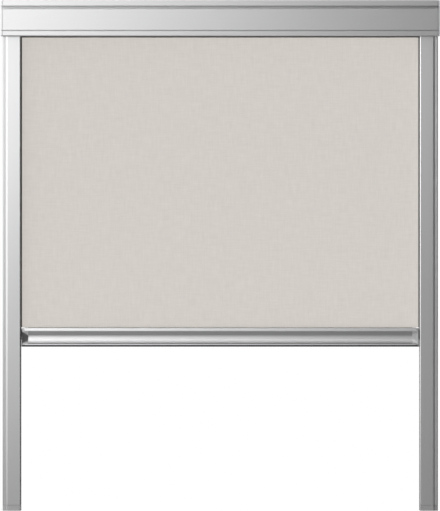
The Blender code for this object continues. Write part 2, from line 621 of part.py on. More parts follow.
def make_rail_base(side, name):
    """The extrusion on the sash: outer wall and flange, web, and the cloth channel's rear lip."""
    inner = RAIL_WIDTH - RAIL_BASE_SETBACK
    lip_inner = RAIL_WIDTH - RAIL_LIP_WIDTH
    flange = RAIL_FLANGE_DEPTH
    corner = (RAIL_FLANGE_RADIUS, flange - RAIL_FLANGE_RADIUS)
    leg_outer = receiver_u() - WALL
    outline = [(0, 0), (inner, 0), (inner, CHANNEL_REAR), (lip_inner, CHANNEL_REAR),
               (lip_inner, CHANNEL_REAR - RAIL_LIP_THICKNESS),
               (inner - WALL, CHANNEL_REAR - RAIL_LIP_THICKNESS), (inner - WALL, WALL),
               (WEB_INNER, WALL), (WEB_INNER, RAIL_WEB_DEPTH), (RAIL_WEB_POSITION, RAIL_WEB_DEPTH),
               (RAIL_WEB_POSITION, WALL), (WALL, WALL), (WALL, flange - WALL),
               (leg_outer, flange - WALL), (leg_outer, flange - RAIL_RECEIVER_LENGTH),
               (receiver_u(), flange - RAIL_RECEIVER_LENGTH), (receiver_u(), flange)]
    outline += arc(corner, RAIL_FLANGE_RADIUS, 90, 180, 4)
    middle_z = (RAIL_TOP_Z + RAIL_BOTTOM_Z) / 2
    rail = prism(name, [plan(outline, side)], RAIL_LENGTH, ALUMINIUM,
                 (side * RAIL_OUTER_X, 0, middle_z), (0, 0, 0))
    hole_u = (WEB_INNER + lip_inner) / 2
    span = RAIL_LENGTH - 2 * RAIL_HOLE_INSET
    for index in range(RAIL_HOLE_COUNT):
        z = RAIL_BOTTOM_Z + RAIL_HOLE_INSET + span * index / (RAIL_HOLE_COUNT - 1)
        cut(rail, cylinder(f"{name}_hole_{index + 1}", RAIL_HOLE_RADIUS, 4 * WALL, None,
                           (side * (RAIL_OUTER_X - hole_u), 0, z), ALONG_Y))
    return rail


def make_rail_cover(side, name):
    """The clip-on cover: sloped edge, flat face, round inner edge and the channel's front lip."""
    leg = receiver_u() + CLEARANCE
    hook_v = RAIL_FLANGE_DEPTH - RAIL_RECEIVER_LENGTH - CLEARANCE
    inner_face = RAIL_DEPTH - WALL
    middle_leg = RAIL_WEB_POSITION - CLEARANCE
    corner = (RAIL_WIDTH - RAIL_EDGE_RADIUS, RAIL_DEPTH - RAIL_EDGE_RADIUS)
    outline = rail_front_points()
    outline += [(RAIL_WIDTH, CHANNEL_FRONT), (RAIL_WIDTH - RAIL_LIP_WIDTH, CHANNEL_FRONT),
                (RAIL_WIDTH - RAIL_LIP_WIDTH, CHANNEL_FRONT + RAIL_LIP_THICKNESS),
                (RAIL_WIDTH - WALL, CHANNEL_FRONT + RAIL_LIP_THICKNESS)]
    outline += arc(corner, RAIL_EDGE_RADIUS - WALL, 0, 90, 3)
    outline += [(middle_leg, inner_face), (middle_leg, hook_v), (middle_leg - WALL, hook_v),
                (middle_leg - WALL, inner_face), (leg + WALL, inner_face),
                (leg + WALL, hook_v - HOOK_THICKNESS), (leg - WALL, hook_v - HOOK_THICKNESS),
                (leg - WALL, hook_v), (leg, hook_v), (leg, RAIL_FLANGE_DEPTH + CLEARANCE)]
    middle_z = (RAIL_TOP_Z + RAIL_BOTTOM_Z) / 2
    return prism(name, [plan(outline, side)], RAIL_LENGTH, ALUMINIUM,
                 (side * RAIL_OUTER_X, 0, middle_z), (0, 0, 0))


def make_rail_pile(side, name):
    """The pile strip on the cover's lip, which brushes the cloth's edge."""
    outer_u = RAIL_WIDTH - RAIL_LIP_WIDTH
    ends = sorted((side * (RAIL_OUTER_X - outer_u), side * (RAIL_INNER_X - PILE_PROUD)))
    return box(name, (ends[0], -PILE_FRONT, RAIL_BOTTOM_Z + FOOT_LONG_PLUG),
               (ends[1], -PILE_REAR, RAIL_TOP_Z), BLACK_PILE)


def make_rail_foot(side, name):
    """The moulded foot: the rail's full outline below it and two plugs inside it."""
    corner = (RAIL_FLANGE_RADIUS, RAIL_FLANGE_DEPTH - RAIL_FLANGE_RADIUS)
    outline = [(0, 0), (RAIL_WIDTH, 0)]
    outline += rail_front_points()[::-1]
    outline += [(RAIL_FLANGE_WIDTH, RAIL_FLANGE_DEPTH)]
    outline += arc(corner, RAIL_FLANGE_RADIUS, 90, 180, 4)
    foot = prism(name, [plan(outline, side)], FOOT_HEIGHT, GREY_PLASTIC,
                 (side * RAIL_OUTER_X, 0, (FOOT_TOP_Z + FOOT_BOTTOM_Z) / 2), (0, 0, 0))
    web_side = RAIL_WEB_POSITION - WALL - 3 * CLEARANCE
    plugs = {
        "long": (WALL + CLEARANCE, web_side, WALL + CLEARANCE, CLOTH_DEPTH, FOOT_LONG_PLUG),
        "short": (SHOE_OUTER_U, SHOE_INNER_U, WALL + CLEARANCE, CLOTH_DEPTH, FOOT_SHORT_PLUG),
    }
    for plug_name, (outer_u, inner_u, rear, front, length) in plugs.items():
        ends = sorted((side * (RAIL_OUTER_X - outer_u), side * (RAIL_OUTER_X - inner_u)))
        join(foot, box(f"{name}_{plug_name}_plug", (ends[0], -front, FOOT_TOP_Z - FOOT_HEIGHT / 2),
                       (ends[1], -rear, RAIL_BOTTOM_Z + length), None))
    line_z = FOOT_TOP_Z - FOOT_LINE_DROP
    ends = sorted((side * (RAIL_INNER_X - WALL), side * (RAIL_OUTER_X + WALL)))
    cut(foot, box(name + "_line", (ends[0], -RAIL_DEPTH - WALL, line_z - FOOT_LINE_SIZE / 2),
                  (ends[1], -RAIL_DEPTH + FOOT_LINE_SIZE, line_z + FOOT_LINE_SIZE / 2), None))
    return foot


# Roller

def make_roller_parts():
    """The tube, its plugs and pin, and the cloth wound on it."""
    end = TUBE_HALF_LENGTH
    inner = TUBE_RADIUS - TUBE_WALL
    tube = turned("roller_tube", [(TUBE_RADIUS, end), (TUBE_RADIUS, -end), (inner, -end),
                                  (inner, end)], ALUMINIUM, 0, closed=True, steps=48)
    plug_profile = [(TUBE_RADIUS, PLUG_FLANGE), (TUBE_RADIUS, 0), (PLUG_RADIUS, 0),
                    (PLUG_RADIUS, -PLUG_LENGTH), (PLUG_BORE, -PLUG_LENGTH), (PLUG_BORE, PLUG_FLANGE)]
    mirrored = [(radius, -along) for radius, along in reversed(plug_profile)]
    face = end + CLEARANCE
    idle_plug = turned("roller_idle_plug", mirrored, WHITE_PLASTIC, -face, closed=True)
    bearing = turned("roller_end_bearing", plug_profile, WHITE_PLASTIC, face, closed=True)
    pin_end = CAP_INNER_X - CLEARANCE
    chamfer = CLEARANCE
    pin_profile = [(0, IDLE_PIN_LENGTH), (JOURNAL_RADIUS - chamfer, IDLE_PIN_LENGTH),
                   (JOURNAL_RADIUS, IDLE_PIN_LENGTH - chamfer), (JOURNAL_RADIUS, chamfer),
                   (JOURNAL_RADIUS - chamfer, 0), (0, 0)]
    pin = turned("roller_idle_pin", pin_profile, STEEL, -pin_end)
    driver_x = CAP_INNER_X - SHAFT_LENGTH
    neck = HUB_RADIUS
    driver_profile = [(PLUG_BORE, PLUG_LENGTH + HUB_LENGTH), (neck, PLUG_LENGTH + HUB_LENGTH),
                      (neck, PLUG_LENGTH), (PLUG_RADIUS, PLUG_LENGTH), (PLUG_RADIUS, 0),
                      (PLUG_BORE, 0)]
    driver = turned("roller_spring_driver", driver_profile, WHITE_PLASTIC, driver_x, closed=True)
    return [tube, idle_plug, bearing, pin, driver, make_winding()]


def make_winding():
    """The cloth on the tube: a spiral that ends where the hanging cloth leaves it at the rear."""
    steps = round(WINDING_TURNS * WINDING_STEPS)
    shape = bmesh.new()
    rows = []
    for step in range(steps + 1):
        turns = step / WINDING_STEPS
        angle = math.radians(360) * turns
        radius = ROLL_RADIUS - WINDING_PITCH * turns
        y = radius * math.cos(angle)
        z = radius * math.sin(angle)
        rows.append([shape.verts.new((side * CLOTH_HALF_WIDTH, y, z)) for side in (-1, 1)])
    for first, second in zip(rows, rows[1:]):
        shape.faces.new((first[0], first[1], second[1], second[0]))
    mesh = finish_bmesh(shape, "cloth_winding")
    winding = place("cloth_winding", mesh, CLOTH, (0, -ROLLER_DEPTH, ROLLER_Z))
    thicken = winding.modifiers.new("cloth_thickness", "SOLIDIFY")
    thicken.thickness = CLOTH_THICKNESS
    thicken.offset = 0
    thicken.use_even_offset = True
    print(f"winding: gap between turns {(WINDING_PITCH - CLOTH_THICKNESS) / MM:.2f} mm")
    return winding


def make_idle_bush():
    """The acetal bush in the left cap's boss, round the idle pin."""
    outer = PLUG_BORE + BUSH_WALL
    profile = [(outer, BOSS_LENGTH - CLEARANCE), (outer, CLEARANCE), (PLUG_BORE, CLEARANCE),
               (PLUG_BORE, BOSS_LENGTH - CLEARANCE)]
    return turned("idle_bush", profile, WHITE_PLASTIC, -CAP_INNER_X, closed=True)


def make_spring_shaft():
    """The fixed shaft, with a flattened end held in the right cap."""
    length = SHAFT_LENGTH - 2 * CLEARANCE
    centre_x = CAP_INNER_X - CLEARANCE - length / 2
    shaft = cylinder("spring_shaft", JOURNAL_RADIUS, length, STEEL,
                     (centre_x, -ROLLER_DEPTH, ROLLER_Z), TURN_TO_X)
    for row in (-1, 1):
        y_near = -ROLLER_DEPTH + row * SHAFT_FLATS / 2
        y_far = -ROLLER_DEPTH + row * 2 * JOURNAL_RADIUS
        low = (CAP_INNER_X - BOSS_LENGTH - RUNNING_GAP, min(y_near, y_far), ROLLER_Z - 2 * JOURNAL_RADIUS)
        high = (CAP_INNER_X + RUNNING_GAP, max(y_near, y_far), ROLLER_Z + 2 * JOURNAL_RADIUS)
        cut(shaft, box(f"spring_shaft_flat_{row}", low, high, None))
    return shaft


def hub_x():
    """The inner end of the fixed hub."""
    return TUBE_HALF_LENGTH - PLUG_LENGTH - HUB_OFFSET


def make_spring_hub():
    """The hub pinned to the shaft, which holds the spring's fixed end."""
    profile = [(HUB_RADIUS, HUB_LENGTH), (HUB_RADIUS, 0), (PLUG_BORE, 0), (PLUG_BORE, HUB_LENGTH)]
    return turned("spring_hub", profile, STEEL, hub_x(), closed=True, steps=24)


def make_spring():
    """The torsion spring, one wire from the driver's neck to the hub."""
    start = CAP_INNER_X - SHAFT_LENGTH + PLUG_LENGTH + SPRING_WIRE_RADIUS + CLEARANCE
    end = hub_x() + HUB_LENGTH - SPRING_WIRE_RADIUS
    count = SPRING_TURNS * SPRING_STEPS
    points = []
    for step in range(count + 1):
        angle = math.radians(360) * step / SPRING_STEPS
        points.append(Vector((start + (end - start) * step / count,
                              SPRING_MEAN_RADIUS * math.cos(angle),
                              SPRING_MEAN_RADIUS * math.sin(angle))))
    gap = min((points[i + SPRING_STEPS] - points[i]).length for i in range(count - SPRING_STEPS))
    print(f"spring: least gap between turns {(gap - 2 * SPRING_WIRE_RADIUS) / MM:.2f} mm")
    curve = bpy.data.curves.new("roller_spring", "CURVE")
    curve.dimensions = "3D"
    curve.bevel_depth = SPRING_WIRE_RADIUS
    curve.bevel_resolution = 1
    curve.use_fill_caps = True
    spline = curve.splines.new("POLY")
    spline.points.add(len(points) - 1)
    for point, place_at in zip(spline.points, points):
        point.co = (*place_at, 1)
    curve.materials.append(SPRING_STEEL)
    spring = bpy.data.objects.new("roller_spring", curve)
    spring.location = (0, -ROLLER_DEPTH, ROLLER_Z)
    BLIND.objects.link(spring)
    return spring


# Cloth

def make_cloth():
    """The hanging cloth: full width down to the bar, then a narrower hem in the bar's slot."""
    top = ROLLER_Z - CLEARANCE
    shoulder = BAR_TOP_Z + 3 * CLEARANCE
    hem_end = BAR_TOP_Z - HEM_CHAMBER_DROP + HEM_ROD_RADIUS + CLEARANCE
    wide = CLOTH_HALF_WIDTH
    narrow = BAR_HALF_LENGTH - BAR_CAP_SPIGOT / 2
    outline = [(-wide, 0), (wide, 0), (wide, shoulder - top), (narrow, shoulder - top),
               (narrow, hem_end - top), (-narrow, hem_end - top), (-narrow, shoulder - top),
               (-wide, shoulder - top)]
    return prism("cloth", [outline], CLOTH_THICKNESS, CLOTH, (0, -CLOTH_DEPTH, top), ALONG_Y)


# Bottom bar

def seal_slot_points():
    """The T-slot in the bar's underside, from front to rear."""
    half_slot = SEAL_SLOT_WIDTH / 2
    half_neck = SEAL_NECK_WIDTH / 2
    neck = BAR_HEIGHT - WALL
    top = neck - SEAL_SLOT_HEIGHT
    front = [(half_neck, BAR_HEIGHT), (half_neck, neck), (half_slot, neck), (half_slot, top)]
    rear = [(-v, d) for v, d in reversed(front)]
    return [(SEAL_SLOT_CENTRE + v, d) for v, d in front + rear]


def groove_floor_points(steps):
    """The finger groove's hollow floor, from the crease down to its foot."""
    crease = Vector((BAR_FRONT - GROOVE_CREASE_SETBACK, GROOVE_CREASE_DROP))
    foot = Vector((BAR_FRONT - GROOVE_FOOT_SETBACK, GROOVE_FOOT_DROP))
    along = foot - crease
    rearwards = Vector((-along.y, along.x)).normalized()
    points = []
    for step in range(steps + 1):
        t = step / steps
        points.append(tuple(crease + along * t + rearwards * GROOVE_FLOOR_SAG * 4 * t * (1 - t)))
    return points


def make_bar_profile():
    """The extrusion: hem slot, flange, finger groove, lip, seal slot and two hollows."""
    slot_rear = CLOTH_DEPTH - HEM_SLOT_WIDTH / 2
    slot_front = CLOTH_DEPTH + HEM_SLOT_WIDTH / 2
    slot_half_angle = math.degrees(math.asin(HEM_SLOT_WIDTH / 2 / HEM_CHAMBER_RADIUS))
    chamber = (CLOTH_DEPTH, HEM_CHAMBER_DROP)
    edge = BAR_EDGE_RADIUS
    bevel = BAR_EDGE_BEVEL
    lip_top = BAR_HEIGHT - BAR_LIP_HEIGHT
    outline = [(BAR_REAR, 0), (slot_rear, 0)]
    outline += arc(chamber, HEM_CHAMBER_RADIUS, 270 - slot_half_angle, -90 + slot_half_angle, 12)
    outline += [(slot_front, 0)]
    outline += arc((BAR_FRONT - BAR_FLANGE_LEAN - edge, edge), edge, -90, 0, 3)
    outline += [(BAR_FRONT, BAR_FLANGE_HEIGHT - bevel), (BAR_FRONT - bevel, BAR_FLANGE_HEIGHT)]
    outline += groove_floor_points(8)
    outline += [(BAR_FRONT - bevel, lip_top), (BAR_FRONT, lip_top + bevel),
                (BAR_FRONT, BAR_HEIGHT - bevel), (BAR_FRONT - bevel, BAR_HEIGHT)]
    outline += seal_slot_points()
    outline += [(BAR_REAR, BAR_HEIGHT)]
    return prism("bar_profile", [section(outline), section(bar_hollow_points()),
                                 section(flange_hollow_points())],
                 2 * BAR_HALF_LENGTH, ALUMINIUM, (0, 0, BAR_TOP_Z))


def bar_hollow_points():
    """The main hollow behind the groove's floor; the caps' spigots fit in it."""
    top = HEM_CHAMBER_DROP + HEM_CHAMBER_RADIUS + WALL
    bottom = BAR_HEIGHT - 2 * WALL - SEAL_SLOT_HEIGHT
    crease_v = BAR_FRONT - GROOVE_CREASE_SETBACK
    foot_v = BAR_FRONT - GROOVE_FOOT_SETBACK
    front_top = crease_v - WALL - GROOVE_FLOOR_SAG
    front_bottom = foot_v - WALL - GROOVE_FLOOR_SAG
    return [(BAR_REAR + WALL, top), (front_top, top), (front_top, GROOVE_CREASE_DROP),
            (front_bottom, bottom), (BAR_REAR + WALL, bottom)]


def flange_hollow_points():
    """The small hollow between the hem chamber and the flange."""
    rear = CLOTH_DEPTH + HEM_CHAMBER_RADIUS + WALL
    front = BAR_FRONT - BAR_FLANGE_LEAN - WALL
    slope = (GROOVE_CREASE_DROP - BAR_FLANGE_HEIGHT) / GROOVE_CREASE_SETBACK
    drop = WALL * math.hypot(1, slope)
    rear_bottom = BAR_FLANGE_HEIGHT + (BAR_FRONT - rear) * slope - drop
    front_bottom = BAR_FLANGE_HEIGHT + (BAR_FRONT - front) * slope - drop
    return [(rear, WALL), (front, WALL), (front, front_bottom), (rear, rear_bottom)]


def make_bar_cap(side, name):
    """The end cap: it closes the groove with a sloped wall and carries a spigot and a tongue."""
    edge = BAR_EDGE_RADIUS
    outline = [(BAR_REAR, 0)]
    outline += arc((BAR_FRONT - BAR_FLANGE_LEAN - edge, edge), edge, -90, 0, 3)
    outline += [(BAR_FRONT, BAR_FLANGE_HEIGHT - BAR_EDGE_BEVEL),
                (BAR_FRONT, BAR_HEIGHT - BAR_EDGE_BEVEL), (BAR_FRONT - BAR_EDGE_BEVEL, BAR_HEIGHT)]
    outline += seal_slot_points()
    outline += [(BAR_REAR, BAR_HEIGHT)]
    middle = side * (BAR_CAP_INNER_X + BAR_CAP_THICKNESS / 2)
    cap = prism(name, [section(outline)], BAR_CAP_THICKNESS, GREY_PLASTIC, (middle, 0, BAR_TOP_Z))
    hollow = bar_hollow_points()
    depths = [v for v, d in hollow]
    spigot = (min(depths) + CLEARANCE, hollow[1][0] - CLEARANCE)
    drops = (hollow[0][1] + CLEARANCE, hollow[-1][1] - CLEARANCE)
    overlap = BAR_CAP_THICKNESS / 2
    ends = sorted((side * (BAR_CAP_INNER_X - BAR_CAP_SPIGOT), side * (BAR_CAP_INNER_X + overlap)))
    join(cap, box(name + "_spigot", (ends[0], -spigot[1], BAR_TOP_Z - drops[1]),
                  (ends[1], -spigot[0], BAR_TOP_Z - drops[0]), None))
    tongue_end = RAIL_OUTER_X - SHOE_INNER_U + SHOE_GRIP
    ends = sorted((side * (BAR_CAP_OUTER_X - overlap), side * tongue_end))
    join(cap, box(name + "_tongue", (ends[0], -TONGUE_FRONT, BAR_TOP_Z - TONGUE_TOP - TONGUE_HEIGHT),
                  (ends[1], -TONGUE_REAR, BAR_TOP_Z - TONGUE_TOP), None))
    join(cap, groove_prism(side, name + "_stop"))
    cut(cap, groove_end_cutter(side, name + "_scoop"))
    cut(cap, corner_cutter(side, name + "_corner"))
    return cap


def corner_cutter(side, name):
    """A wedge that chamfers the cap's outer front corner over its whole height."""
    width, depth = BAR_CAP_CHAMFER
    beyond = BAR_FRONT + WALL
    slope = depth / width
    plan = [(BAR_CAP_OUTER_X - width - WALL / slope, beyond),
            (BAR_CAP_OUTER_X + WALL, BAR_FRONT - depth - WALL * slope),
            (BAR_CAP_OUTER_X + WALL, beyond)]
    shape = bmesh.new()
    for x, v in plan:
        for d in (-WALL, BAR_HEIGHT + WALL):
            shape.verts.new((side * x, -v, BAR_TOP_Z - d))
    bmesh.ops.convex_hull(shape, input=shape.verts)
    return place(name, finish_bmesh(shape, name), None)


def groove_opening(front, inset):
    """The finger groove's open section as far as a front, moved inwards from its walls."""
    slope = (GROOVE_CREASE_DROP - BAR_FLANGE_HEIGHT) / GROOVE_CREASE_SETBACK
    lip_top = BAR_HEIGHT - BAR_LIP_HEIGHT
    path = [(front, BAR_FLANGE_HEIGHT + (BAR_FRONT - front) * slope)]
    path += groove_floor_points(4)
    path += [(BAR_FRONT - BAR_EDGE_BEVEL, lip_top)]
    if front > BAR_FRONT:
        path += [(front, lip_top)]
    return band(path, 2 * inset)[len(path):]


def groove_prism(side, name):
    """The block that fills the finger groove's end, clear of the profile."""
    far = BAR_CAP_INNER_X + BAR_CAP_THICKNESS / 2
    near = BAR_CAP_INNER_X - STOP_REACH
    outline = groove_opening(BAR_FRONT - BAR_EDGE_BEVEL, CLEARANCE)
    return prism(name, [section(outline)], far - near, None, (side * (near + far) / 2, 0, BAR_TOP_Z))


def groove_end_cutter(side, name):
    """A wedge that carries the finger groove on and runs out near the cap's outer end."""
    near_x = side * (BAR_CAP_INNER_X - STOP_REACH - CLEARANCE)
    far_x = side * (BAR_CAP_OUTER_X + RUNNING_GAP)
    near = groove_opening(BAR_FRONT + WALL, CLEARANCE + STOP_EDGE)
    far_v = BAR_FRONT + WALL / 2
    far = [(far_v, BAR_FLANGE_HEIGHT + BAR_CAP_HIP),
           (far_v, BAR_HEIGHT - BAR_LIP_HEIGHT - BAR_CAP_HIP)]
    shape = bmesh.new()
    for x, ring in ((near_x, near), (far_x, far)):
        for v, d in ring:
            shape.verts.new((x, -v, BAR_TOP_Z - d))
    bmesh.ops.convex_hull(shape, input=shape.verts)
    return place(name, finish_bmesh(shape, name), None)


def make_bar_seal():
    """The black strip under the bar, with its T-shaped foot in the slot."""
    gap = CLEARANCE
    body_top = BAR_HEIGHT + gap
    body_bottom = BAR_HEIGHT + BAR_SEAL_DROP
    neck = BAR_HEIGHT - WALL
    half_neck = SEAL_NECK_WIDTH / 2 - gap
    half_slot = SEAL_SLOT_WIDTH / 2 - gap
    head_top = neck - SEAL_SLOT_HEIGHT + gap
    centre = SEAL_SLOT_CENTRE
    rear = BAR_REAR + BAR_SEAL_INSET
    front = BAR_FRONT - BAR_SEAL_INSET
    outline = [(rear, body_top), (centre - half_neck, body_top), (centre - half_neck, neck - gap),
               (centre - half_slot, neck - gap), (centre - half_slot, head_top),
               (centre + half_slot, head_top), (centre + half_slot, neck - gap),
               (centre + half_neck, neck - gap), (centre + half_neck, body_top), (front, body_top),
               (front, body_bottom), (rear, body_bottom)]
    return prism("bar_seal", [section(outline)], 2 * BAR_CAP_OUTER_X, BLACK_RUBBER,
                 (0, 0, BAR_TOP_Z))


def make_hem_rod():
    """The rod in the cloth's hem, held by the bar's slot."""
    length = 2 * (BAR_HALF_LENGTH - BAR_CAP_SPIGOT / 2)
    return cylinder("hem_rod", HEM_ROD_RADIUS, length, WHITE_PLASTIC,
                    (0, -CLOTH_DEPTH, BAR_TOP_Z - HEM_CHAMBER_DROP), TURN_TO_X)


def make_guide_shoe(side, name):
    """The acetal shoe in the rail's inner chamber, clipped over the cap's tongue."""
    top = BAR_TOP_Z - SHOE_TOP
    ends = sorted((side * (RAIL_OUTER_X - SHOE_OUTER_U), side * (RAIL_OUTER_X - SHOE_INNER_U)))
    shoe = box(name, (ends[0], -SHOE_REAR - SHOE_DEPTH, top - SHOE_HEIGHT),
               (ends[1], -SHOE_REAR, top), WHITE_PLASTIC)
    slot_start = RAIL_OUTER_X - SHOE_INNER_U - RUNNING_GAP
    slot_end = RAIL_OUTER_X - SHOE_INNER_U + SHOE_GRIP + CLEARANCE
    ends = sorted((side * slot_start, side * slot_end))
    cut(shoe, box(name + "_slot", (ends[0], -TONGUE_FRONT - CLEARANCE,
                                   BAR_TOP_Z - TONGUE_TOP - TONGUE_HEIGHT - CLEARANCE),
                  (ends[1], -TONGUE_REAR + CLEARANCE, BAR_TOP_Z - TONGUE_TOP + CLEARANCE), None))
    return shoe


def make_brake_pad(side, name):
    """The felt pad on the rail's back wall."""
    ends = sorted((side * (RAIL_OUTER_X - SHOE_OUTER_U - RUNNING_GAP),
                   side * (RAIL_OUTER_X - SHOE_INNER_U + RUNNING_GAP)))
    rear = WALL + CLEARANCE
    top = BAR_TOP_Z - SHOE_TOP - RUNNING_GAP
    return box(name, (ends[0], -rear - BRAKE_PAD_THICKNESS, top - SHOE_HEIGHT + 2 * RUNNING_GAP),
               (ends[1], -rear, top), FELT)


def make_brake_spring(side, name):
    """The bow spring between shoe and pad: its ends bear on the shoe, its middle on the pad."""
    pad_front = WALL + CLEARANCE + BRAKE_PAD_THICKNESS
    half = BRAKE_SPRING_THICKNESS / 2
    low = pad_front + CLEARANCE + half
    high = SHOE_REAR - CLEARANCE - half
    length = SHOE_HEIGHT - 4 * RUNNING_GAP
    path = []
    for step in range(9):
        t = step / 8
        path.append((low + (high - low) * (2 * t - 1) ** 2, SHOE_TOP + 2 * RUNNING_GAP + length * t))
    middle = side * (RAIL_OUTER_X - (SHOE_OUTER_U + SHOE_INNER_U) / 2)
    width = SHOE_INNER_U - SHOE_OUTER_U - 4 * RUNNING_GAP
    return prism(name, [section(band(path, BRAKE_SPRING_THICKNESS))], width, SPRING_STEEL,
                 (middle, 0, BAR_TOP_Z))


# Assembly

SIDES = {"left": -1, "right": 1}

make_headbox_back()
make_headbox_front()
make_headbox_seal()
make_idle_bush()
make_spring_shaft()
make_spring_hub()
make_spring()
make_cloth()
for side_name, side_sign in SIDES.items():
    make_end_cap(side_sign, f"headbox_cap_{side_name}")
    make_cap_screw(side_sign, UPPER_PORT, f"cap_screw_{side_name}_upper")
    make_cap_screw(side_sign, LOWER_PORT, f"cap_screw_{side_name}_lower")
    make_bracket(side_sign, f"bracket_{side_name}")
    make_rail_base(side_sign, f"rail_base_{side_name}")
    make_rail_cover(side_sign, f"rail_cover_{side_name}")
    make_rail_pile(side_sign, f"rail_pile_{side_name}")
    make_rail_foot(side_sign, f"rail_foot_{side_name}")

roller_axis = new_carrier("roller_axis", (0, -ROLLER_DEPTH, ROLLER_Z))
ride_on(make_roller_parts(), roller_axis)

bar_carrier = new_carrier("bar_carrier", (0, -CLOTH_DEPTH, BAR_TOP_Z))
bar_pieces = [make_bar_profile(), make_hem_rod(), make_bar_seal()]
for side_name, side_sign in SIDES.items():
    bar_pieces.append(make_bar_cap(side_sign, f"bar_cap_{side_name}"))
    bar_pieces.append(make_guide_shoe(side_sign, f"guide_shoe_{side_name}"))
    bar_pieces.append(make_brake_pad(side_sign, f"brake_pad_{side_name}"))
    bar_pieces.append(make_brake_spring(side_sign, f"brake_spring_{side_name}"))
ride_on(bar_pieces, bar_carrier)

print(f"headbox {HEADBOX_HEIGHT / MM:.2f} x {HEADBOX_DEPTH / MM:.2f} mm, "
      f"overall height {(HEADBOX_TOP_Z - FOOT_BOTTOM_Z) / MM:.2f} mm")
print(f"roller axis y {-ROLLER_DEPTH / MM:.3f} z {ROLLER_Z / MM:.3f} mm, "
      f"winding radius {ROLL_RADIUS / MM:.3f} mm")
print(f"bar top z {BAR_TOP_Z / MM:.3f} mm, travel down {BAR_TRAVEL_DOWN / MM:.2f} mm, "
      f"up {BAR_TRAVEL_UP / MM:.2f} mm")
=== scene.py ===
# %% [markdown]
# # A skylight blind in satin aluminium
#
# This lesson dresses a roof window blind: a headbox with a roller in it, two side rails, a
# blackout cloth and a bottom bar with a finger groove. The solid model comes in as a fixed
# frame, in metres, with X to the right, Y towards the window and Z up. Every step below adds
# a finish or a finer piece to it, and says why it is made that way.

# %% Load the solid model
import math
import random

import bmesh
import bpy
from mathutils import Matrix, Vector


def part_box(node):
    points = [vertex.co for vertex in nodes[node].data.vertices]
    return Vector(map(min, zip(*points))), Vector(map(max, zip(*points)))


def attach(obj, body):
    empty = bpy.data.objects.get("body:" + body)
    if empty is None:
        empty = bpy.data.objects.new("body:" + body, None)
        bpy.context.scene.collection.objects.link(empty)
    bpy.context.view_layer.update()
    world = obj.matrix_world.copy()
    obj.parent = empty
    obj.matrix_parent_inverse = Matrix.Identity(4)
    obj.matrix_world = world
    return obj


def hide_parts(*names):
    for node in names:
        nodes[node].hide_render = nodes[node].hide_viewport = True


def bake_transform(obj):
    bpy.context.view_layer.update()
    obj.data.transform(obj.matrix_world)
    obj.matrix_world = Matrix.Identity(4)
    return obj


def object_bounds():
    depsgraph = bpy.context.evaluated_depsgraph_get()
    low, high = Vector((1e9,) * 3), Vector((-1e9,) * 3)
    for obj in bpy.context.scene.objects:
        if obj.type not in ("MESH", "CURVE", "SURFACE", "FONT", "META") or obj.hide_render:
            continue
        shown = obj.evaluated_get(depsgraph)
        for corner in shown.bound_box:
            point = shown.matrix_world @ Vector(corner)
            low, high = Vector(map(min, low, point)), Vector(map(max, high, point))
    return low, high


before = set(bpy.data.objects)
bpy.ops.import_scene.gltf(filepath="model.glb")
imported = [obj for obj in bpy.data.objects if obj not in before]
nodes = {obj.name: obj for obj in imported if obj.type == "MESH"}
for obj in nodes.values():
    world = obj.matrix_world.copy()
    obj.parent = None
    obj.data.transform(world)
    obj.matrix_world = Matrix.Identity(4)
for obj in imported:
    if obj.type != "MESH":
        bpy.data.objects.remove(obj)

solid_low, solid_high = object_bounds()
MM = 0.001
print("solids:", len(nodes), "box in mm:", [round(v / MM, 1) for v in (*solid_low, *solid_high)])

# %% [markdown]
# ## The places that later steps need
#
# A finer piece has to sit where its solid sits. Reading the solids' boxes once, here, keeps
# those places in one spot, so that no later cell types in a position of its own.

# %% Read the main places
cloth_low, cloth_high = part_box("cloth")
winding_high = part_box("cloth_winding")[1]
tube_low, tube_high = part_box("roller_tube")
bar_low, bar_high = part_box("bar_profile")
rod_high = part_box("hem_rod")[1]
seal_low, seal_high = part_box("headbox_seal")
inner_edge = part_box("rail_cover_right")[0].x
outer_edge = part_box("rail_base_right")[1].x

cloth_thickness = cloth_high.y - cloth_low.y
roller_y = (tube_low.y + tube_high.y) / 2
roller_z = (tube_low.z + tube_high.z) / 2
winding_radius = winding_high.y - roller_y - cloth_thickness / 2
bar_top = bar_high.z

# %% [markdown]
# ## Camera
#
# The photograph was taken straight from the front with a very long lens: both rails show only
# their front faces. A camera 14 metres away gives that look and still behaves like a real
# camera. The lens follows from the distance and the height that the picture covers, measured
# at the depth of the front faces. A shift of a third of a millimetre centres the blind as the
# photograph does.

# %% Place the camera
CAMERA_DISTANCE = 14.0
PICTURE_HEIGHT = 0.71056
FACE_DEPTH = -30 * MM
AIM_OFFSET = (-0.35 * MM, 0.3 * MM)
SENSOR_WIDTH = 36
VIEW_END = 60.0

centre = (solid_low + solid_high) / 2
camera_data = bpy.data.cameras.new("long_lens")
camera_data.sensor_width = SENSOR_WIDTH
camera_data.lens = SENSOR_WIDTH * CAMERA_DISTANCE / PICTURE_HEIGHT
camera_data.clip_end = VIEW_END
camera = bpy.data.objects.new("long_lens", camera_data)
camera.location = (centre.x + AIM_OFFSET[0], FACE_DEPTH - CAMERA_DISTANCE,
                   centre.z + AIM_OFFSET[1])
camera.rotation_euler = (math.radians(90), 0, 0)
bpy.context.scene.collection.objects.link(camera)
bpy.context.scene.camera = camera
bpy.context.scene.view_settings.view_transform = "Standard"
print("lens in mm:", round(camera_data.lens))

# %% [markdown]
# ## Writing a finish as sums
#
# A procedural finish is mostly arithmetic: a bit of grain, times a strength, plus a base value.
# In Blender that is a net of nodes, and each socket takes either a value or a link from another
# node. Three helpers find a socket, give it either of the two, and fill a colour ramp.

# %% Helpers for sockets


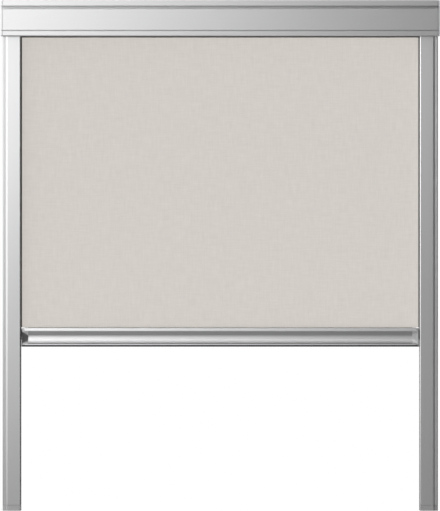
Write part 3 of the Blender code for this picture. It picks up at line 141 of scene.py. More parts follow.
def find_socket(sockets, key):
    """A socket by its place, its identifier or its name."""
    if isinstance(key, int):
        return sockets[key]
    for socket in sockets:
        if socket.identifier == key or socket.name == key:
            return socket
    raise KeyError(key)


def feed(tree, socket, value):
    """Link a signal to a socket, or set the socket's value."""
    if isinstance(value, Signal):
        tree.links.new(value.socket, socket)
    else:
        socket.default_value = value


def set_stops(ramp, stops):
    """Give a colour ramp its stops as (position, grey)."""
    while len(ramp.elements) < len(stops):
        ramp.elements.new(0.5)
    for element, (position, value) in zip(ramp.elements, stops):
        element.position = position
        element.color = (value, value, value, 1)


print("sockets can be fed with values or signals")

# %% [markdown]
# A net that is drawn by hand soon gets hard to read. Wrapping a socket in a small class lets
# the arithmetic be written as plain Python, and each operator adds one Math node. Every other
# kind of node comes from one method, which sets the node's options first and its sockets after.
# Two more methods make the masks of this lesson: one rises from 0 to 1 behind a place, the
# other falls from 1 to 0 before it.


# %% A socket that takes part in sums
class Signal:
    """A node's output that can be added, multiplied and compared like a number."""

    def __init__(self, tree, socket):
        self.tree = tree
        self.socket = socket

    def node(self, kind, options=None, sockets=None, output=0):
        """Add any node: options first, then values or links for its sockets."""
        made = self.tree.nodes.new(kind)
        for key, value in (options or {}).items():
            if key == "stops":
                set_stops(made.color_ramp, value)
            else:
                setattr(made, key, value)
        for key, value in (sockets or {}).items():
            feed(self.tree, find_socket(made.inputs, key), value)
        return Signal(self.tree, find_socket(made.outputs, output))

    def maths(self, operation, *values, clamp=False):
        """One Math node on signals or numbers."""
        options = {"operation": operation, "use_clamp": clamp}
        return self.node("ShaderNodeMath", options, dict(enumerate(values)))

    def __add__(self, other):
        return self.maths("ADD", self, other)

    def __radd__(self, other):
        return self.maths("ADD", other, self)

    def __sub__(self, other):
        return self.maths("SUBTRACT", self, other)

    def __rsub__(self, other):
        return self.maths("SUBTRACT", other, self)

    def __mul__(self, other):
        return self.maths("MULTIPLY", self, other)

    def __rmul__(self, other):
        return self.maths("MULTIPLY", other, self)

    def __truediv__(self, other):
        return self.maths("DIVIDE", self, other)

    def __rtruediv__(self, other):
        return self.maths("DIVIDE", other, self)

    def __gt__(self, other):
        return self.maths("GREATER_THAN", self, other)

    def __abs__(self):
        return self.maths("ABSOLUTE", self)

    def rise(self, start, width):
        """0 up to start, then rising over a width to 1."""
        return self.maths("MULTIPLY", self - start, 1 / width, clamp=True)

    def fall(self, end, width):
        """1, then falling over a width to 0 at end."""
        return self.maths("MULTIPLY", end - self, 1 / width, clamp=True)

    def coordinate(self, axis, kind="Object"):
        """One coordinate of the shaded point; the object's own are in metres."""
        where = self.node("ShaderNodeTexCoord", output=kind)
        return self.node("ShaderNodeSeparateXYZ", sockets={0: where}, output=axis)

    def grey(self):
        """The same number as a colour."""
        return self.node("ShaderNodeCombineColor", sockets={0: self, 1: self, 2: self})


print("a signal has", sum(1 for name in vars(Signal) if name.startswith("__r")), "reflected forms")

# %% [markdown]
# ## A material to start from
#
# Each finish is a Principled shader with the constant values set straight on its sockets, plus
# a few signals for what varies over the surface. `Finish` keeps the three together. Its
# coordinates are the object's own, in metres, so a scale of 1000 means one step per millimetre.


# %% The base of every finish
class Finish(Signal):
    """A material with one Principled shader, ready for signals."""

    def __init__(self, name, **constants):
        self.material = bpy.data.materials.new(name)
        self.material.use_nodes = True
        tree = self.material.node_tree
        self.shader = tree.nodes["Principled BSDF"]
        super().__init__(tree, None)
        for key, value in constants.items():
            feed(tree, self.shader.inputs[key.replace("_", " ")], value)

    def place(self, scale):
        """The object's own coordinates, stretched by a scale on each axis."""
        where = self.node("ShaderNodeTexCoord", output="Object")
        options = {"operation": "MULTIPLY"}
        return self.node("ShaderNodeVectorMath", options, {0: where, 1: scale}, output="Vector")

    def noise(self, scale, detail=2.0, roughness=0.5):
        """Soft noise between 0 and 1, at a scale given for each axis."""
        sockets = {"Vector": self.place(scale), "Scale": 1.0, "Detail": detail,
                   "Roughness": roughness}
        return self.node("ShaderNodeTexNoise", sockets=sockets, output="Fac")

    def blend(self, share, first, second):
        """Mix two colours."""
        sockets = {"Factor_Float": share, "A_Color": first, "B_Color": second}
        return self.node("ShaderNodeMix", {"data_type": "RGBA"}, sockets, output="Result_Color")

    def relief(self, height, distance):
        """Feed a height, in units of distance, to the shader's normal."""
        sockets = {"Height": height, "Distance": distance, "Strength": 1.0}
        feed(self.tree, self.shader.inputs["Normal"], self.node("ShaderNodeBump", sockets=sockets))

    def wear(self, socket, value):
        """Let a signal feed one of the shader's sockets."""
        feed(self.tree, self.shader.inputs[socket], value)


def shade(colour, factor):
    """A colour made lighter or darker."""
    return (*[min(1.0, c * factor) for c in colour], 1.0)


print("finishes are ready")

# %% [markdown]
# ## Anodised extrusion
#
# The headbox, the rails and the bar are extruded aluminium with a satin anodised coat. The die
# leaves faint straight lines along the whole length, and etching adds a fine even grain. Noise
# that is 180 times longer than wide gives the lines. The lines also spread the gloss across
# themselves, so the shader is anisotropic: its highlight is wide across the lines and narrow
# along them. That is why a headbox darkens from end to end and a rail from top to
# bottom. The covers and the bar show the most, and are drawn from a slightly lighter metal.

# %% Make the extruded finish
ALUMINIUM = (0.74, 0.74, 0.745)
COVER_POLISH = 1.05
BAR_POLISH = 1.10
SATIN_GLOSS = 0.38
BAR_GLOSS = 0.36
GRAIN_STRETCH = 0.9
GRAIN_TURN = {"x": 0.25, "z": 0.0}
LINES_ACROSS = 900.0
LINES_ALONG = 5.0
CLOUDS = 14.0
ETCHING = 5200.0
TONE_SPREAD = 0.025
RIPPLE_DEPTH = 0.0015 * MM


def make_extruded(name, length_axis, polish=1.0, gloss=SATIN_GLOSS, slope=0.0):
    """Satin aluminium with die lines along one axis; slope tilts its face towards the middle."""
    finish = Finish(name, Metallic=1.0, Anisotropic=GRAIN_STRETCH,
                    Anisotropic_Rotation=GRAIN_TURN[length_axis])
    scale = [LINES_ALONG if axis == length_axis else LINES_ACROSS for axis in "xyz"]
    lines = finish.noise(scale, 3.0, 0.6)
    cloudy = finish.noise([CLOUDS] * 3)
    grain = finish.noise([ETCHING] * 3, 1.0)
    finish.colour = finish.blend(lines * 0.7 + cloudy * 0.3,
                                 shade(ALUMINIUM, polish * (1 - TONE_SPREAD)),
                                 shade(ALUMINIUM, polish * (1 + TONE_SPREAD)))
    finish.gloss = gloss - 0.04 + lines * 0.05 + cloudy * 0.03
    ripple = lines * 0.7 + grain * 0.3
    if slope:
        ripple = ripple + abs(finish.coordinate("X")) * (slope / RIPPLE_DEPTH)
    finish.wear("Base Color", finish.colour)
    finish.wear("Roughness", finish.gloss)
    finish.relief(ripple, RIPPLE_DEPTH)
    return finish


tube_metal = make_extruded("anodised_lengthwise_x", "x")
print("made", tube_metal.material.name)

# %% [markdown]
# ## The outer strips of the rails
#
# Beside each cover a narrow strip of the rail's base shows. In the photograph it mirrors the
# same part of the room as the cover does, as if it leant inwards by a few degrees. The solid's
# strip is flat, and a CAD mesh isn't changed here, so a height that grows away from the middle
# tilts the shading instead. That is a stand-in for a guessed lean, whose place is in the CAD.
# The anodic film is a little chalky here, which takes a share off the metal. The rim that lies
# against the window's sash is painted darker: painted shade along the base's outer edge.

# %% Make the finish of the rails' bases
BASE_SLOPE = 0.13
CHALK = 0.06
CHALK_SPREAD = 0.04
CHALK_CLOUDS = 40.0
RIM_WIDTH = 1.6 * MM
RIM_FADE = 0.1 * MM
RIM_SHADE_TONE = 0.80

base_metal = make_extruded("anodised_lengthwise_z", "z", slope=BASE_SLOPE)
clouds = base_metal.noise([CHALK_CLOUDS] * 3)
# The rim's darker tone is painted shade.
rim_shade = abs(base_metal.coordinate("X")).rise(outer_edge - RIM_WIDTH, RIM_FADE)
base_metal.wear("Metallic", 1 - clouds * CHALK_SPREAD - (CHALK - CHALK_SPREAD / 2))
base_metal.wear("Base Color", base_metal.blend(rim_shade, base_metal.colour, shade(ALUMINIUM, RIM_SHADE_TONE)))
print("rails' outer edges at", round(outer_edge / MM, 1), "mm")

# %% [markdown]
# ## The inner edges of the covers
#
# The cloth and the bar's ends run along the covers' inner edges and rub them a little smoother.
# The right edge then catches the light from the left as a bright line. The left edge looks at
# the dark side of the room, and a rounding of under half a millimetre would mirror it as a dark
# line. The bevel can't be made that wide on this mesh, so the line is painted. That is a
# stand-in too: under another light a reflection would move, and this line stays.

# %% Make the finish of the rails' covers
EDGE_WIDTH = 1.9 * MM
EDGE_FADE = 0.3 * MM
EDGE_POLISH = 0.18
CORNER_WIDTH = 0.4 * MM
CORNER_FADE = 0.05 * MM
CORNER_SHADE = (0.15, 0.15, 0.152, 1)

cover_metal = make_extruded("anodised_cover", "z", COVER_POLISH)
across_cover = cover_metal.coordinate("X")
from_middle = abs(across_cover)
rubbed = from_middle.fall(inner_edge + EDGE_WIDTH, EDGE_FADE)
corner = from_middle.fall(inner_edge + CORNER_WIDTH, CORNER_FADE)
left_corner = corner * (1 - (across_cover > 0.0))
cover_metal.wear("Roughness", cover_metal.gloss - rubbed * EDGE_POLISH)
cover_metal.wear("Base Color", cover_metal.blend(left_corner, cover_metal.colour, CORNER_SHADE))
print("covers' inner edges at", round(inner_edge / MM, 1), "mm")

# %% [markdown]
# ## The bottom bar
#
# The bar is the piece that hands touch. Its finger groove has a ceiling that faces down and is
# duller, and a crease over the lower lip. The ceiling's darker tone and the crease's dark line are
# painted shade. Both are stretches of the same profile, so a mask on the drop below the bar's top
# finds them: it fades in at the groove's mouth and out again where the wall turns to the light. The
# crease's painted shade takes the metal away as well. A thin chalky film covers the rest.

# %% Make the bar's finish
BAR_CHALK = 0.08
CEILING_START = 4.5 * MM
CEILING_EDGE = 0.3 * MM
CEILING_END = 13.0 * MM
CEILING_FADE = 3.1 * MM
CEILING_SHADE_TONE = 0.60
CEILING_DULLNESS = 0.15
CREASE_START = 21.0 * MM
CREASE_END = 22.25 * MM
CREASE_SHADE = (0.270, 0.268, 0.265, 1)
CREASE_DULLNESS = 0.4

bar_metal = make_extruded("anodised_bar", "x", BAR_POLISH, BAR_GLOSS)
drop = bar_top - bar_metal.coordinate("Z")
ceiling = drop.rise(CEILING_START, CEILING_EDGE) * drop.fall(CEILING_END, CEILING_FADE)
crease_middle = (CREASE_START + CREASE_END) / 2
crease = drop.maths("COMPARE", drop, crease_middle, CREASE_END - crease_middle)
# Painted shade: the ceiling is drawn darker than the rest of the bar.
bar_colour = bar_metal.blend(ceiling, bar_metal.colour, shade(ALUMINIUM, CEILING_SHADE_TONE))
# Painted shade: the crease is drawn as a dark line and is not metal there.
bar_metal.wear("Base Color", bar_metal.blend(crease, bar_colour, CREASE_SHADE))
bar_metal.wear("Metallic", (1 - crease) * (1 - BAR_CHALK))
bar_metal.wear("Roughness", bar_metal.gloss + ceiling * CEILING_DULLNESS + crease * CREASE_DULLNESS)
print("ceiling", round(CEILING_START / MM, 1), "to", round(CEILING_END / MM, 1),
      "mm and crease", round(CREASE_START / MM, 1), "mm under the bar's top")

# %% [markdown]
# ## The headbox's grooves
#
# Brushing only reaches the outer faces. In the headbox's two grooves the metal keeps the dull skin
# of the raw extrusion. A mask from the object's own Y, which is 0 on the front face and 1 from a
# millimetre behind it, brings that skin in, and a painted tone with it: painted shade in the
# fascia's fine groove, and painted light in the back shell's wide groove, which shows lighter than
# the fine one. So each has its own tone.

# %% Make the headbox's finish with dull grooves
GROOVE_START = 0.3 * MM
GROOVE_FADE = 0.7 * MM
GROOVE_DULLNESS = 0.2


def make_grooved(name, node, painted_groove_tone):
    """The lengthwise finish, duller behind a node's front face and with a painted tone there."""
    finish = make_extruded(name, "x")
    groove = finish.coordinate("Y").rise(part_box(node)[0].y + GROOVE_START, GROOVE_FADE)
    finish.wear("Base Color", finish.blend(groove, finish.colour, shade(ALUMINIUM, painted_groove_tone)))
    finish.wear("Roughness", finish.gloss + groove * GROOVE_DULLNESS)
    return finish


# Painted tones: light in the back shell's wide groove, shade in the fascia's fine one.
shell_metal = make_grooved("anodised_top_strip", "headbox_back", 1.17)
fascia_metal = make_grooved("anodised_fascia", "headbox_front", 0.84)
print("made", shell_metal.material.name, fascia_metal.material.name)

# %% [markdown]
# ## One straight grain direction
#
# Anisotropy needs a direction on the surface. Without a UV map Blender takes it round the
# middle of the object's texture space. Moving that space far away to the side of the window
# makes the direction run along X everywhere, and a quarter turn in the finish sets it to Z.

# %% Straighten the grain of the long pieces and their caps
EXTRUDED_X = ["headbox_back", "headbox_front", "bar_profile"]
EXTRUDED_Z = ["rail_base_left", "rail_base_right", "rail_cover_left", "rail_cover_right"]
CAPS = ["headbox_cap_left", "headbox_cap_right", "bar_cap_left", "bar_cap_right"]
FEET = ["rail_foot_left", "rail_foot_right"]
FAR_AWAY = 100.0


def straighten_grain(mesh):
    """Put the texture space so far off that its circles are straight lines."""
    mesh.use_auto_texspace = False
    mesh.texspace_location = (0, FAR_AWAY, 0)
    mesh.texspace_size = (1, 1, 1)


grained = EXTRUDED_X + EXTRUDED_Z + CAPS + FEET + ["roller_tube"]
for name in grained:
    straighten_grain(nodes[name].data)
print("straight grain on", len(grained), "pieces")

# %% [markdown]
# ## Silver plastic
#
# The end caps and feet are moulded plastic in a metallic silver, chosen to vanish beside the
# aluminium. The mould is lined the same way as the metal next to it, so the caps take the same
# stretched highlight, and its fine speckle shows only from near. The bar's caps are handled
# most and have the roughest mould, which hides scratches.

# %% Make the silver plastic
SPECKLES = 2600.0
MOTTLES = 30.0
SPECKLE_DEPTH = 0.003 * MM


def make_silver(name, length_axis, gloss):
    """Moulded silver whose highlight is stretched like the metal's beside it."""
    finish = Finish(name, Metallic=0.97, Anisotropic=GRAIN_STRETCH,
                    Anisotropic_Rotation=GRAIN_TURN[length_axis])
    speckle = finish.noise([SPECKLES] * 3)
    mottle = finish.noise([MOTTLES] * 3)
    finish.wear("Base Color", finish.blend(speckle, shade(ALUMINIUM, 0.96), shade(ALUMINIUM, 1.02)))
    finish.wear("Roughness", gloss + speckle * 0.05 + mottle * 0.03)
    finish.relief(speckle, SPECKLE_DEPTH)
    return finish.material


headbox_silver = make_silver("silver_plastic_lengthwise_x", "x", 0.36)
foot_silver = make_silver("silver_plastic_lengthwise_z", "z", 0.36)
bar_silver = make_silver("silver_plastic_bar", "x", 0.52)
print("made", headbox_silver.name, foot_silver.name, bar_silver.name)

# %% [markdown]
# ## White acetal
#
# The shoes, plugs and bearings slide or turn, and are acetal: milky, slightly waxy and without
# paint. A little coat gives the waxy gloss.

# %% Make the acetal
acetal = Finish("white_acetal", Coat_Weight=0.15, Coat_Roughness=0.2)
milk = acetal.noise([120.0] * 3)
acetal.wear("Base Color", acetal.blend(milk, (0.74, 0.74, 0.70, 1), (0.80, 0.80, 0.77, 1)))
acetal.wear("Roughness", 0.36 + milk * 0.1)
acetal.relief(acetal.noise([1500.0] * 3), 0.003 * MM)
print("made", acetal.material.name)

# %% [markdown]
# ## Zinc and spring steel
#
# Brackets, screws and the roller's pin are zinc plated, which shows as small cloudy crystals in
# slightly different greys. Cells of a Voronoi texture, each in its own grey, are the simplest
# crystals. The springs are oiled wire and strip, darker, smoother and with finer crystals.

# %% Make the two steels


def make_steel(name, dark, light, gloss, crystals):
    """Steel with cloudy patches of a given size, in steps per metre."""
    finish = Finish(name, Metallic=1.0)
    sockets = {"Vector": finish.place([crystals] * 3), "Scale": 1.0, "Randomness": 1.0}
    cells = finish.node("ShaderNodeTexVoronoi", sockets=sockets, output="Color")
    patch = finish.node("ShaderNodeSeparateColor", sockets={0: cells})
    fine = finish.noise([3000.0] * 3)
    finish.wear("Base Color", finish.blend(patch * 0.6 + fine * 0.4, dark, light))
    finish.wear("Roughness", gloss + patch * 0.08 + fine * 0.06)
    finish.relief(fine, 0.003 * MM)
    return finish.material


zinc = make_steel("zinc_plate", (0.50, 0.51, 0.51, 1), (0.66, 0.66, 0.63, 1), 0.28, 420.0)
spring_steel = make_steel("spring_steel", (0.24, 0.24, 0.26, 1), (0.34, 0.33, 0.33, 1), 0.26, 900.0)
print("made", zinc.name, spring_steel.name)

# %% [markdown]
# ## Black seal, pile and felt
#
# The strip under the bar is soft black rubber with a dull bloom. The pile and the felt are
# fibres, which never shine: they get full roughness, a little sheen and a fuzzy relief.

# %% Make the soft dark finishes
rubber = Finish("black_rubber")
bloom = rubber.noise([90.0] * 3, 3.0)
rubber.wear("Base Color", rubber.blend(bloom, (0.016, 0.016, 0.017, 1), (0.034, 0.034, 0.035, 1)))
rubber.wear("Roughness", 0.62 + bloom * 0.14)
rubber.relief(rubber.noise([1800.0] * 3), 0.01 * MM)


def make_fibre(name, dark, light, size):
    """Matt fibres of about one over size metres."""
    finish = Finish(name, Sheen_Weight=0.25, Sheen_Roughness=0.5)
    fuzz = finish.noise([size] * 3, 3.0, 0.7)
    finish.wear("Base Color", finish.blend(fuzz, dark, light))
    finish.wear("Roughness", 0.88 + fuzz * 0.1)
    finish.relief(fuzz, 0.08 * MM)
    return finish.material


pile_black = make_fibre("black_pile", (0.012, 0.012, 0.012, 1), (0.040, 0.039, 0.037, 1), 3500.0)
felt_grey = make_fibre("grey_felt", (0.08, 0.08, 0.08, 1), (0.19, 0.185, 0.18, 1), 2200.0)
print("made", rubber.material.name, pile_black.name, felt_grey.name)

# %% [markdown]
# ## Blackout cloth
#
# The cloth is a fine plain weave, a pale warm grey. Two sine waves at right angles, one for the
# warp and one for the weft, make the weave: where one thread dives the other rises. At three
# threads per millimetre it can't be seen from afar, but close up it gives the surface its
# grain. What does show from afar are slubs, the thicker stretches of yarn: noise that is drawn
# out along each thread gives them, and carries most of the tone.

# %% Weave the cloth's face
THREADS_PER_METRE = 2800.0
SLUBS_ACROSS = 520.0
SLUBS_ALONG = 45.0
MOTTLING = 110.0
THREAD_DEPTH = 0.06 * MM
THREAD_DARK = (0.500, 0.471, 0.4388, 1)
THREAD_LIGHT = (0.712, 0.6725, 0.632, 1)

weave = Finish("blackout_cloth_face", Sheen_Weight=0.08, Sheen_Roughness=0.6)


def thread_wave(axis):
    """A sine across the threads of one direction, between 0 and 1."""
    turns = weave.coordinate(axis) * (math.tau * THREADS_PER_METRE / 2)
    return weave.maths("SINE", turns) * 0.5 + 0.5


warp = thread_wave("X")
weft = thread_wave("Z")
over = warp * weft + (1 - warp) * (1 - weft)
warp_slubs = weave.noise([SLUBS_ACROSS, 1.0, SLUBS_ALONG])
weft_slubs = weave.noise([SLUBS_ALONG, 1.0, SLUBS_ACROSS])
mottling = weave.noise([MOTTLING, 1.0, MOTTLING], 3.0)
thread_tone = over * 0.1 + warp_slubs * 0.35 + weft_slubs * 0.35 + mottling * 0.2
weave.wear("Roughness", 0.86 + over * 0.08)
weave.relief(over * 0.6 + warp_slubs * 0.2 + weft_slubs * 0.2, THREAD_DEPTH)
print("threads per mm:", THREADS_PER_METRE * MM)

# %% [markdown]
# A dark line runs down each side of the cloth beside the rail: painted shadow of the gap at the
# rail. It is a mask on the cloth's own finish and not a piece of its own. The right line starts half
# a millimetre further in and is painted lighter than the left one, as the light comes from the left.

# %% Paint the shadow lines at the cloth's sides
EDGE_SHADOW_START = 275.9 * MM
EDGE_SHADOW_SHIFT = 0.5 * MM
EDGE_SHADOW_FADE = 0.15 * MM
LEFT_EDGE_SHADOW = (0.060, 0.059, 0.058, 1)
RIGHT_EDGE_SHADOW = (0.190, 0.187, 0.182, 1)

across_cloth = weave.coordinate("X")
right_side = across_cloth > 0.0
edge_shadow = (abs(across_cloth) + right_side * EDGE_SHADOW_SHIFT).rise(EDGE_SHADOW_START, EDGE_SHADOW_FADE)
edge_shadow_colour = weave.blend(right_side, LEFT_EDGE_SHADOW, RIGHT_EDGE_SHADOW)
cloth_colour = weave.blend(thread_tone, THREAD_DARK, THREAD_LIGHT)
weave.wear("Base Color", weave.blend(edge_shadow, cloth_colour, edge_shadow_colour))
print("seams start", round(EDGE_SHADOW_START / MM, 1), "mm from the middle")

# %% [markdown]
# Towards the window the cloth has a light-tight coating. It is a smooth pale skin in which the
# weave only shows through as a faint texture, so it needs no threads of its own.

# %% Coat the cloth's back
coating = Finish("blackout_cloth_back", Roughness=0.6)
skin = coating.noise([260.0] * 3, 3.0)
coating.wear("Base Color", coating.blend(skin, (0.60, 0.60, 0.59, 1), (0.68, 0.68, 0.665, 1)))
coating.relief(skin * 0.6 + coating.noise([2800.0] * 3) * 0.4, 0.03 * MM)
print("made", weave.material.name, coating.material.name)

# %% [markdown]
# ## Dress the solids
#
# Most solids already have the right shape, so they only change their material. The table says
# which finish goes on which piece.

# %% Hand out the finishes
dress = {
    shell_metal.material: ["headbox_back"],
    fascia_metal.material: ["headbox_front"],
    tube_metal.material: ["roller_tube"],
    bar_metal.material: ["bar_profile"],
    base_metal.material: ["rail_base_left", "rail_base_right"],
    cover_metal.material: ["rail_cover_left", "rail_cover_right"],
    headbox_silver: ["headbox_cap_left", "headbox_cap_right"],
    bar_silver: ["bar_cap_left", "bar_cap_right"],
    foot_silver: FEET,
    acetal.material: ["idle_bush", "roller_idle_plug", "roller_end_bearing",
                      "roller_spring_driver", "hem_rod", "guide_shoe_left", "guide_shoe_right"],
    zinc: ["bracket_left", "bracket_right", "spring_shaft", "spring_hub", "roller_idle_pin",
           "cap_screw_left_upper", "cap_screw_left_lower", "cap_screw_right_upper",
           "cap_screw_right_lower"],
    spring_steel: ["roller_spring", "brake_spring_left", "brake_spring_right"],
    rubber.material: ["bar_seal"],
    felt_grey: ["brake_pad_left", "brake_pad_right"],
}
for material, names in dress.items():
    for name in names:
        nodes[name].data.materials.clear()
        nodes[name].data.materials.append(material)
print("dressed", sum(len(names) for names in dress.values()), "of", len(nodes), "solids")

# %% [markdown]
# ## Soften the edges
#
# No real edge is perfectly sharp: an extrusion's edges are a tenth of a millimetre round, and
# that thin line catches the light. Curved stretches of the solids are made of short flat steps
# and should be shaded smooth, while real corners stay sharp. A small node group decides that
# edge by edge from the angle there.

# %% A node group that smooths shallow edges
SMOOTH_BELOW = 50


def make_smoother(limit):
    """A geometry node group that shades every edge smooth whose angle is below a limit."""
    group = bpy.data.node_groups.new("smooth_shallow_edges", "GeometryNodeTree")
    for direction in ("INPUT", "OUTPUT"):
        group.interface.new_socket("Geometry", in_out=direction, socket_type="NodeSocketGeometry")
    start = group.nodes.new("NodeGroupInput")
    end = group.nodes.new("NodeGroupOutput")
    bend = group.nodes.new("GeometryNodeInputMeshEdgeAngle")
    shallow = group.nodes.new("FunctionNodeCompare")
    shallow.operation = "LESS_THAN"
    shallow.inputs[1].default_value = math.radians(limit)
    faces = group.nodes.new("GeometryNodeSetShadeSmooth")
    edges = group.nodes.new("GeometryNodeSetShadeSmooth")
    edges.domain = "EDGE"
    for output, socket in ((start.outputs[0], faces.inputs[0]), (faces.outputs[0], edges.inputs[0]),
                           (bend.outputs[0], shallow.inputs[0]),
                           (shallow.outputs[0], edges.inputs["Shade Smooth"]),
                           (edges.outputs[0], end.inputs[0])):
        group.links.new(output, socket)
    return group


smoother = make_smoother(SMOOTH_BELOW)
print("made", smoother.name)

# %% [markdown]
# The solids come in as loose triangles. They are welded, flat triangles are merged into whole
# faces, a small Bevel runs along the edges, the node group smooths, and weighted normals keep
# the flat faces flat. All of these are modifiers, so the solid itself stays as it is.

# %% Add the edge modifiers
EDGE_ROUNDING = 0.1 * MM
WELD_DISTANCE = 0.005 * MM
FLAT_WITHIN = 1
BEVEL_ABOVE = 25


def soften(name, width):
    """Round a solid's edges by a width, without touching its mesh."""
    piece = nodes[name]
    weld = piece.modifiers.new("weld", "WELD")
    weld.merge_threshold = WELD_DISTANCE
    merge = piece.modifiers.new("whole_faces", "DECIMATE")
    merge.decimate_type = "DISSOLVE"
    merge.angle_limit = math.radians(FLAT_WITHIN)
    edge = piece.modifiers.new("soft_edges", "BEVEL")
    edge.width = width
    edge.segments = 2
    edge.limit_method = "ANGLE"
    edge.angle_limit = math.radians(BEVEL_ABOVE)
    piece.modifiers.new("smooth", "NODES").node_group = smoother
    flatten = piece.modifiers.new("flat_faces_stay_flat", "WEIGHTED_NORMAL")
    flatten.keep_sharp = True


softened = EXTRUDED_X + EXTRUDED_Z + CAPS + FEET + ["bracket_left", "bracket_right"]
for name in softened:
    soften(name, EDGE_ROUNDING)
print("softened edges on", len(softened), "pieces")

# %% [markdown]
# ## A mesh from points and faces
#
# The finer pieces below are computed point by point. One helper turns the points and faces
# into an object with its materials. A box's eight corners are counted like a three-digit binary
# number, one digit for each of its edges, so one list of faces fits every box.

# %% Helper for new pieces
BOX_FACES = ((0, 1, 3, 2), (4, 6, 7, 5), (0, 4, 5, 1), (2, 3, 7, 6), (0, 2, 6, 4), (1, 5, 7, 3))


def new_piece(name, points, faces, materials, smooth=False):
    """An object from points and faces, with its faces turned outwards."""
    mesh = bpy.data.meshes.new(name)
    mesh.from_pydata(points, [], faces)
    shape = bmesh.new()
    shape.from_mesh(mesh)
    bmesh.ops.recalc_face_normals(shape, faces=shape.faces)
    shape.to_mesh(mesh)
    shape.free()
    for material in materials:
        mesh.materials.append(material)
    mesh.polygons.foreach_set("use_smooth", [smooth] * len(mesh.polygons))
    piece = bpy.data.objects.new(name, mesh)
    bpy.context.scene.collection.objects.link(piece)
    return piece


print("a box has", len(BOX_FACES), "faces")

# %% [markdown]
# ## The hanging cloth
#
# The cloth hangs from the roller to the bar's slot and is pulled flat between them. It is a
# thin slab, so that it has a woven face, a coated back and cut edges. Below the bar's top it is
# narrower, because it has to pass between the bar's end caps.

# %% Build the hanging cloth
COLUMNS = 48
SHOULDER_OVER_BAR = 0.9 * MM
SHOULDER_HEIGHT = 0.05 * MM

cloth_top = cloth_high.z
cloth_shoulder = bar_top + SHOULDER_OVER_BAR
wide = cloth_high.x
narrow = rod_high.x


def slab(rows, y_front, y_back):
    """A thin slab from rows of (z, half width): its points and faces."""
    points = []
    for y in (y_front, y_back):
        for z, half in rows:
            points += [(-half + 2 * half * i / COLUMNS, y, z) for i in range(COLUMNS + 1)]
    row = COLUMNS + 1
    side = row * len(rows)
    faces = []
    for r in range(len(rows) - 1):
        for c in range(COLUMNS):
            a = r * row + c
            quad = (a, a + 1, a + row + 1, a + row)
            faces.append(quad)
            faces.append(tuple(side + i for i in reversed(quad)))
    for r in range(len(rows) - 1):
        for c in (0, COLUMNS):
            a = r * row + c
            faces.append((a, a + row, a + row + side, a + side))
    for r in (0, len(rows) - 1):
        for c in range(COLUMNS):
            a = r * row + c
            faces.append((a, a + 1, a + 1 + side, a + side))
    return points, faces


rows = [(cloth_top, wide), ((cloth_top + cloth_shoulder) / 2, wide), (cloth_shoulder, wide),
        (cloth_shoulder - SHOULDER_HEIGHT, narrow), (cloth_low.z, narrow)]
points, faces = slab(rows, cloth_low.y, cloth_high.y)
cloth = new_piece("cloth_panel", points, faces, [weave.material, coating.material])
for face in cloth.data.polygons:
    face.material_index = 1 if face.normal.y > 0.5 else 0
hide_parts("cloth")
print("cloth panel", [round(v / MM, 1) for v in cloth.dimensions])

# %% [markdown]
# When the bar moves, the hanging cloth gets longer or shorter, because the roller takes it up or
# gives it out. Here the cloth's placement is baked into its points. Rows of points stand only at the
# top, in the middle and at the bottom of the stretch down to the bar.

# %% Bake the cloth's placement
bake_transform(cloth)

# %% [markdown]
# ## The cloth on the roller
#
# The rest of the cloth is wound on the tube as a spiral. Each turn lies on the one below it,
# about two of its own thicknesses further out, as cloth winds with some air. Walking along the
# spiral in small steps gives its length, which is what was cut before it was wound.

# %% Wind the cloth
TURNS = 3.75
PITCH = 0.85 * MM
STEPS = 56
CRISP_ABOVE = 40

spiral = []
for step in range(round(TURNS * STEPS) + 1):
    turn = step / STEPS
    spiral.append((math.tau * turn, winding_radius - PITCH * turn))
points, faces = [], []
for angle, radius in spiral:
    for end_x in (-wide, wide):
        for r in (radius + cloth_thickness / 2, radius - cloth_thickness / 2):
            points.append((end_x, roller_y + r * math.cos(angle), roller_z + r * math.sin(angle)))
for step in range(len(spiral) - 1):
    a = 4 * step
    b = a + 4
    faces += [(a, a + 2, b + 2, b), (a + 1, b + 1, b + 3, a + 3), (a, b, b + 1, a + 1),
              (a + 2, a + 3, b + 3, b + 2)]
last = 4 * (len(spiral) - 1)
faces += [(0, 1, 3, 2), (last, last + 2, last + 3, last + 1)]
winding = new_piece("cloth_roll", points, faces, [weave.material], smooth=True)
winding.data.set_sharp_from_angle(angle=math.radians(CRISP_ABOVE))
wound_length = sum(math.hypot(r * math.tau / STEPS, PITCH / STEPS) for angle, r in spiral[1:])
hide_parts("cloth_winding")
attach(winding, "roller")

# %% [markdown]
# ## Pile strips
#
# A brush seal is a thin woven backing with rows of stiff black tufts and, among them, a thin
# black film that stops the light. Each tuft is a small spike that leans a little its own way.
# Thousands of them, seeded so that they never change, make an edge that is soft and uneven as
# on the real strip.

# %% Helper that builds a brush strip
TUFT_TRIANGLE = ((-1, -0.6), (1, -0.6), (0, 1))
TUFT_FILL = 0.62
TUFT_TIP = 0.5
TUFT_JITTER = 0.25
TUFT_SHORTEST = 0.8
TUFT_LEAN = 0.3
ROOT_DEPTH = 0.98
FILM_PLACE = 0.45
FILM_THICKNESS = 0.1
FILM_REACH = 0.95


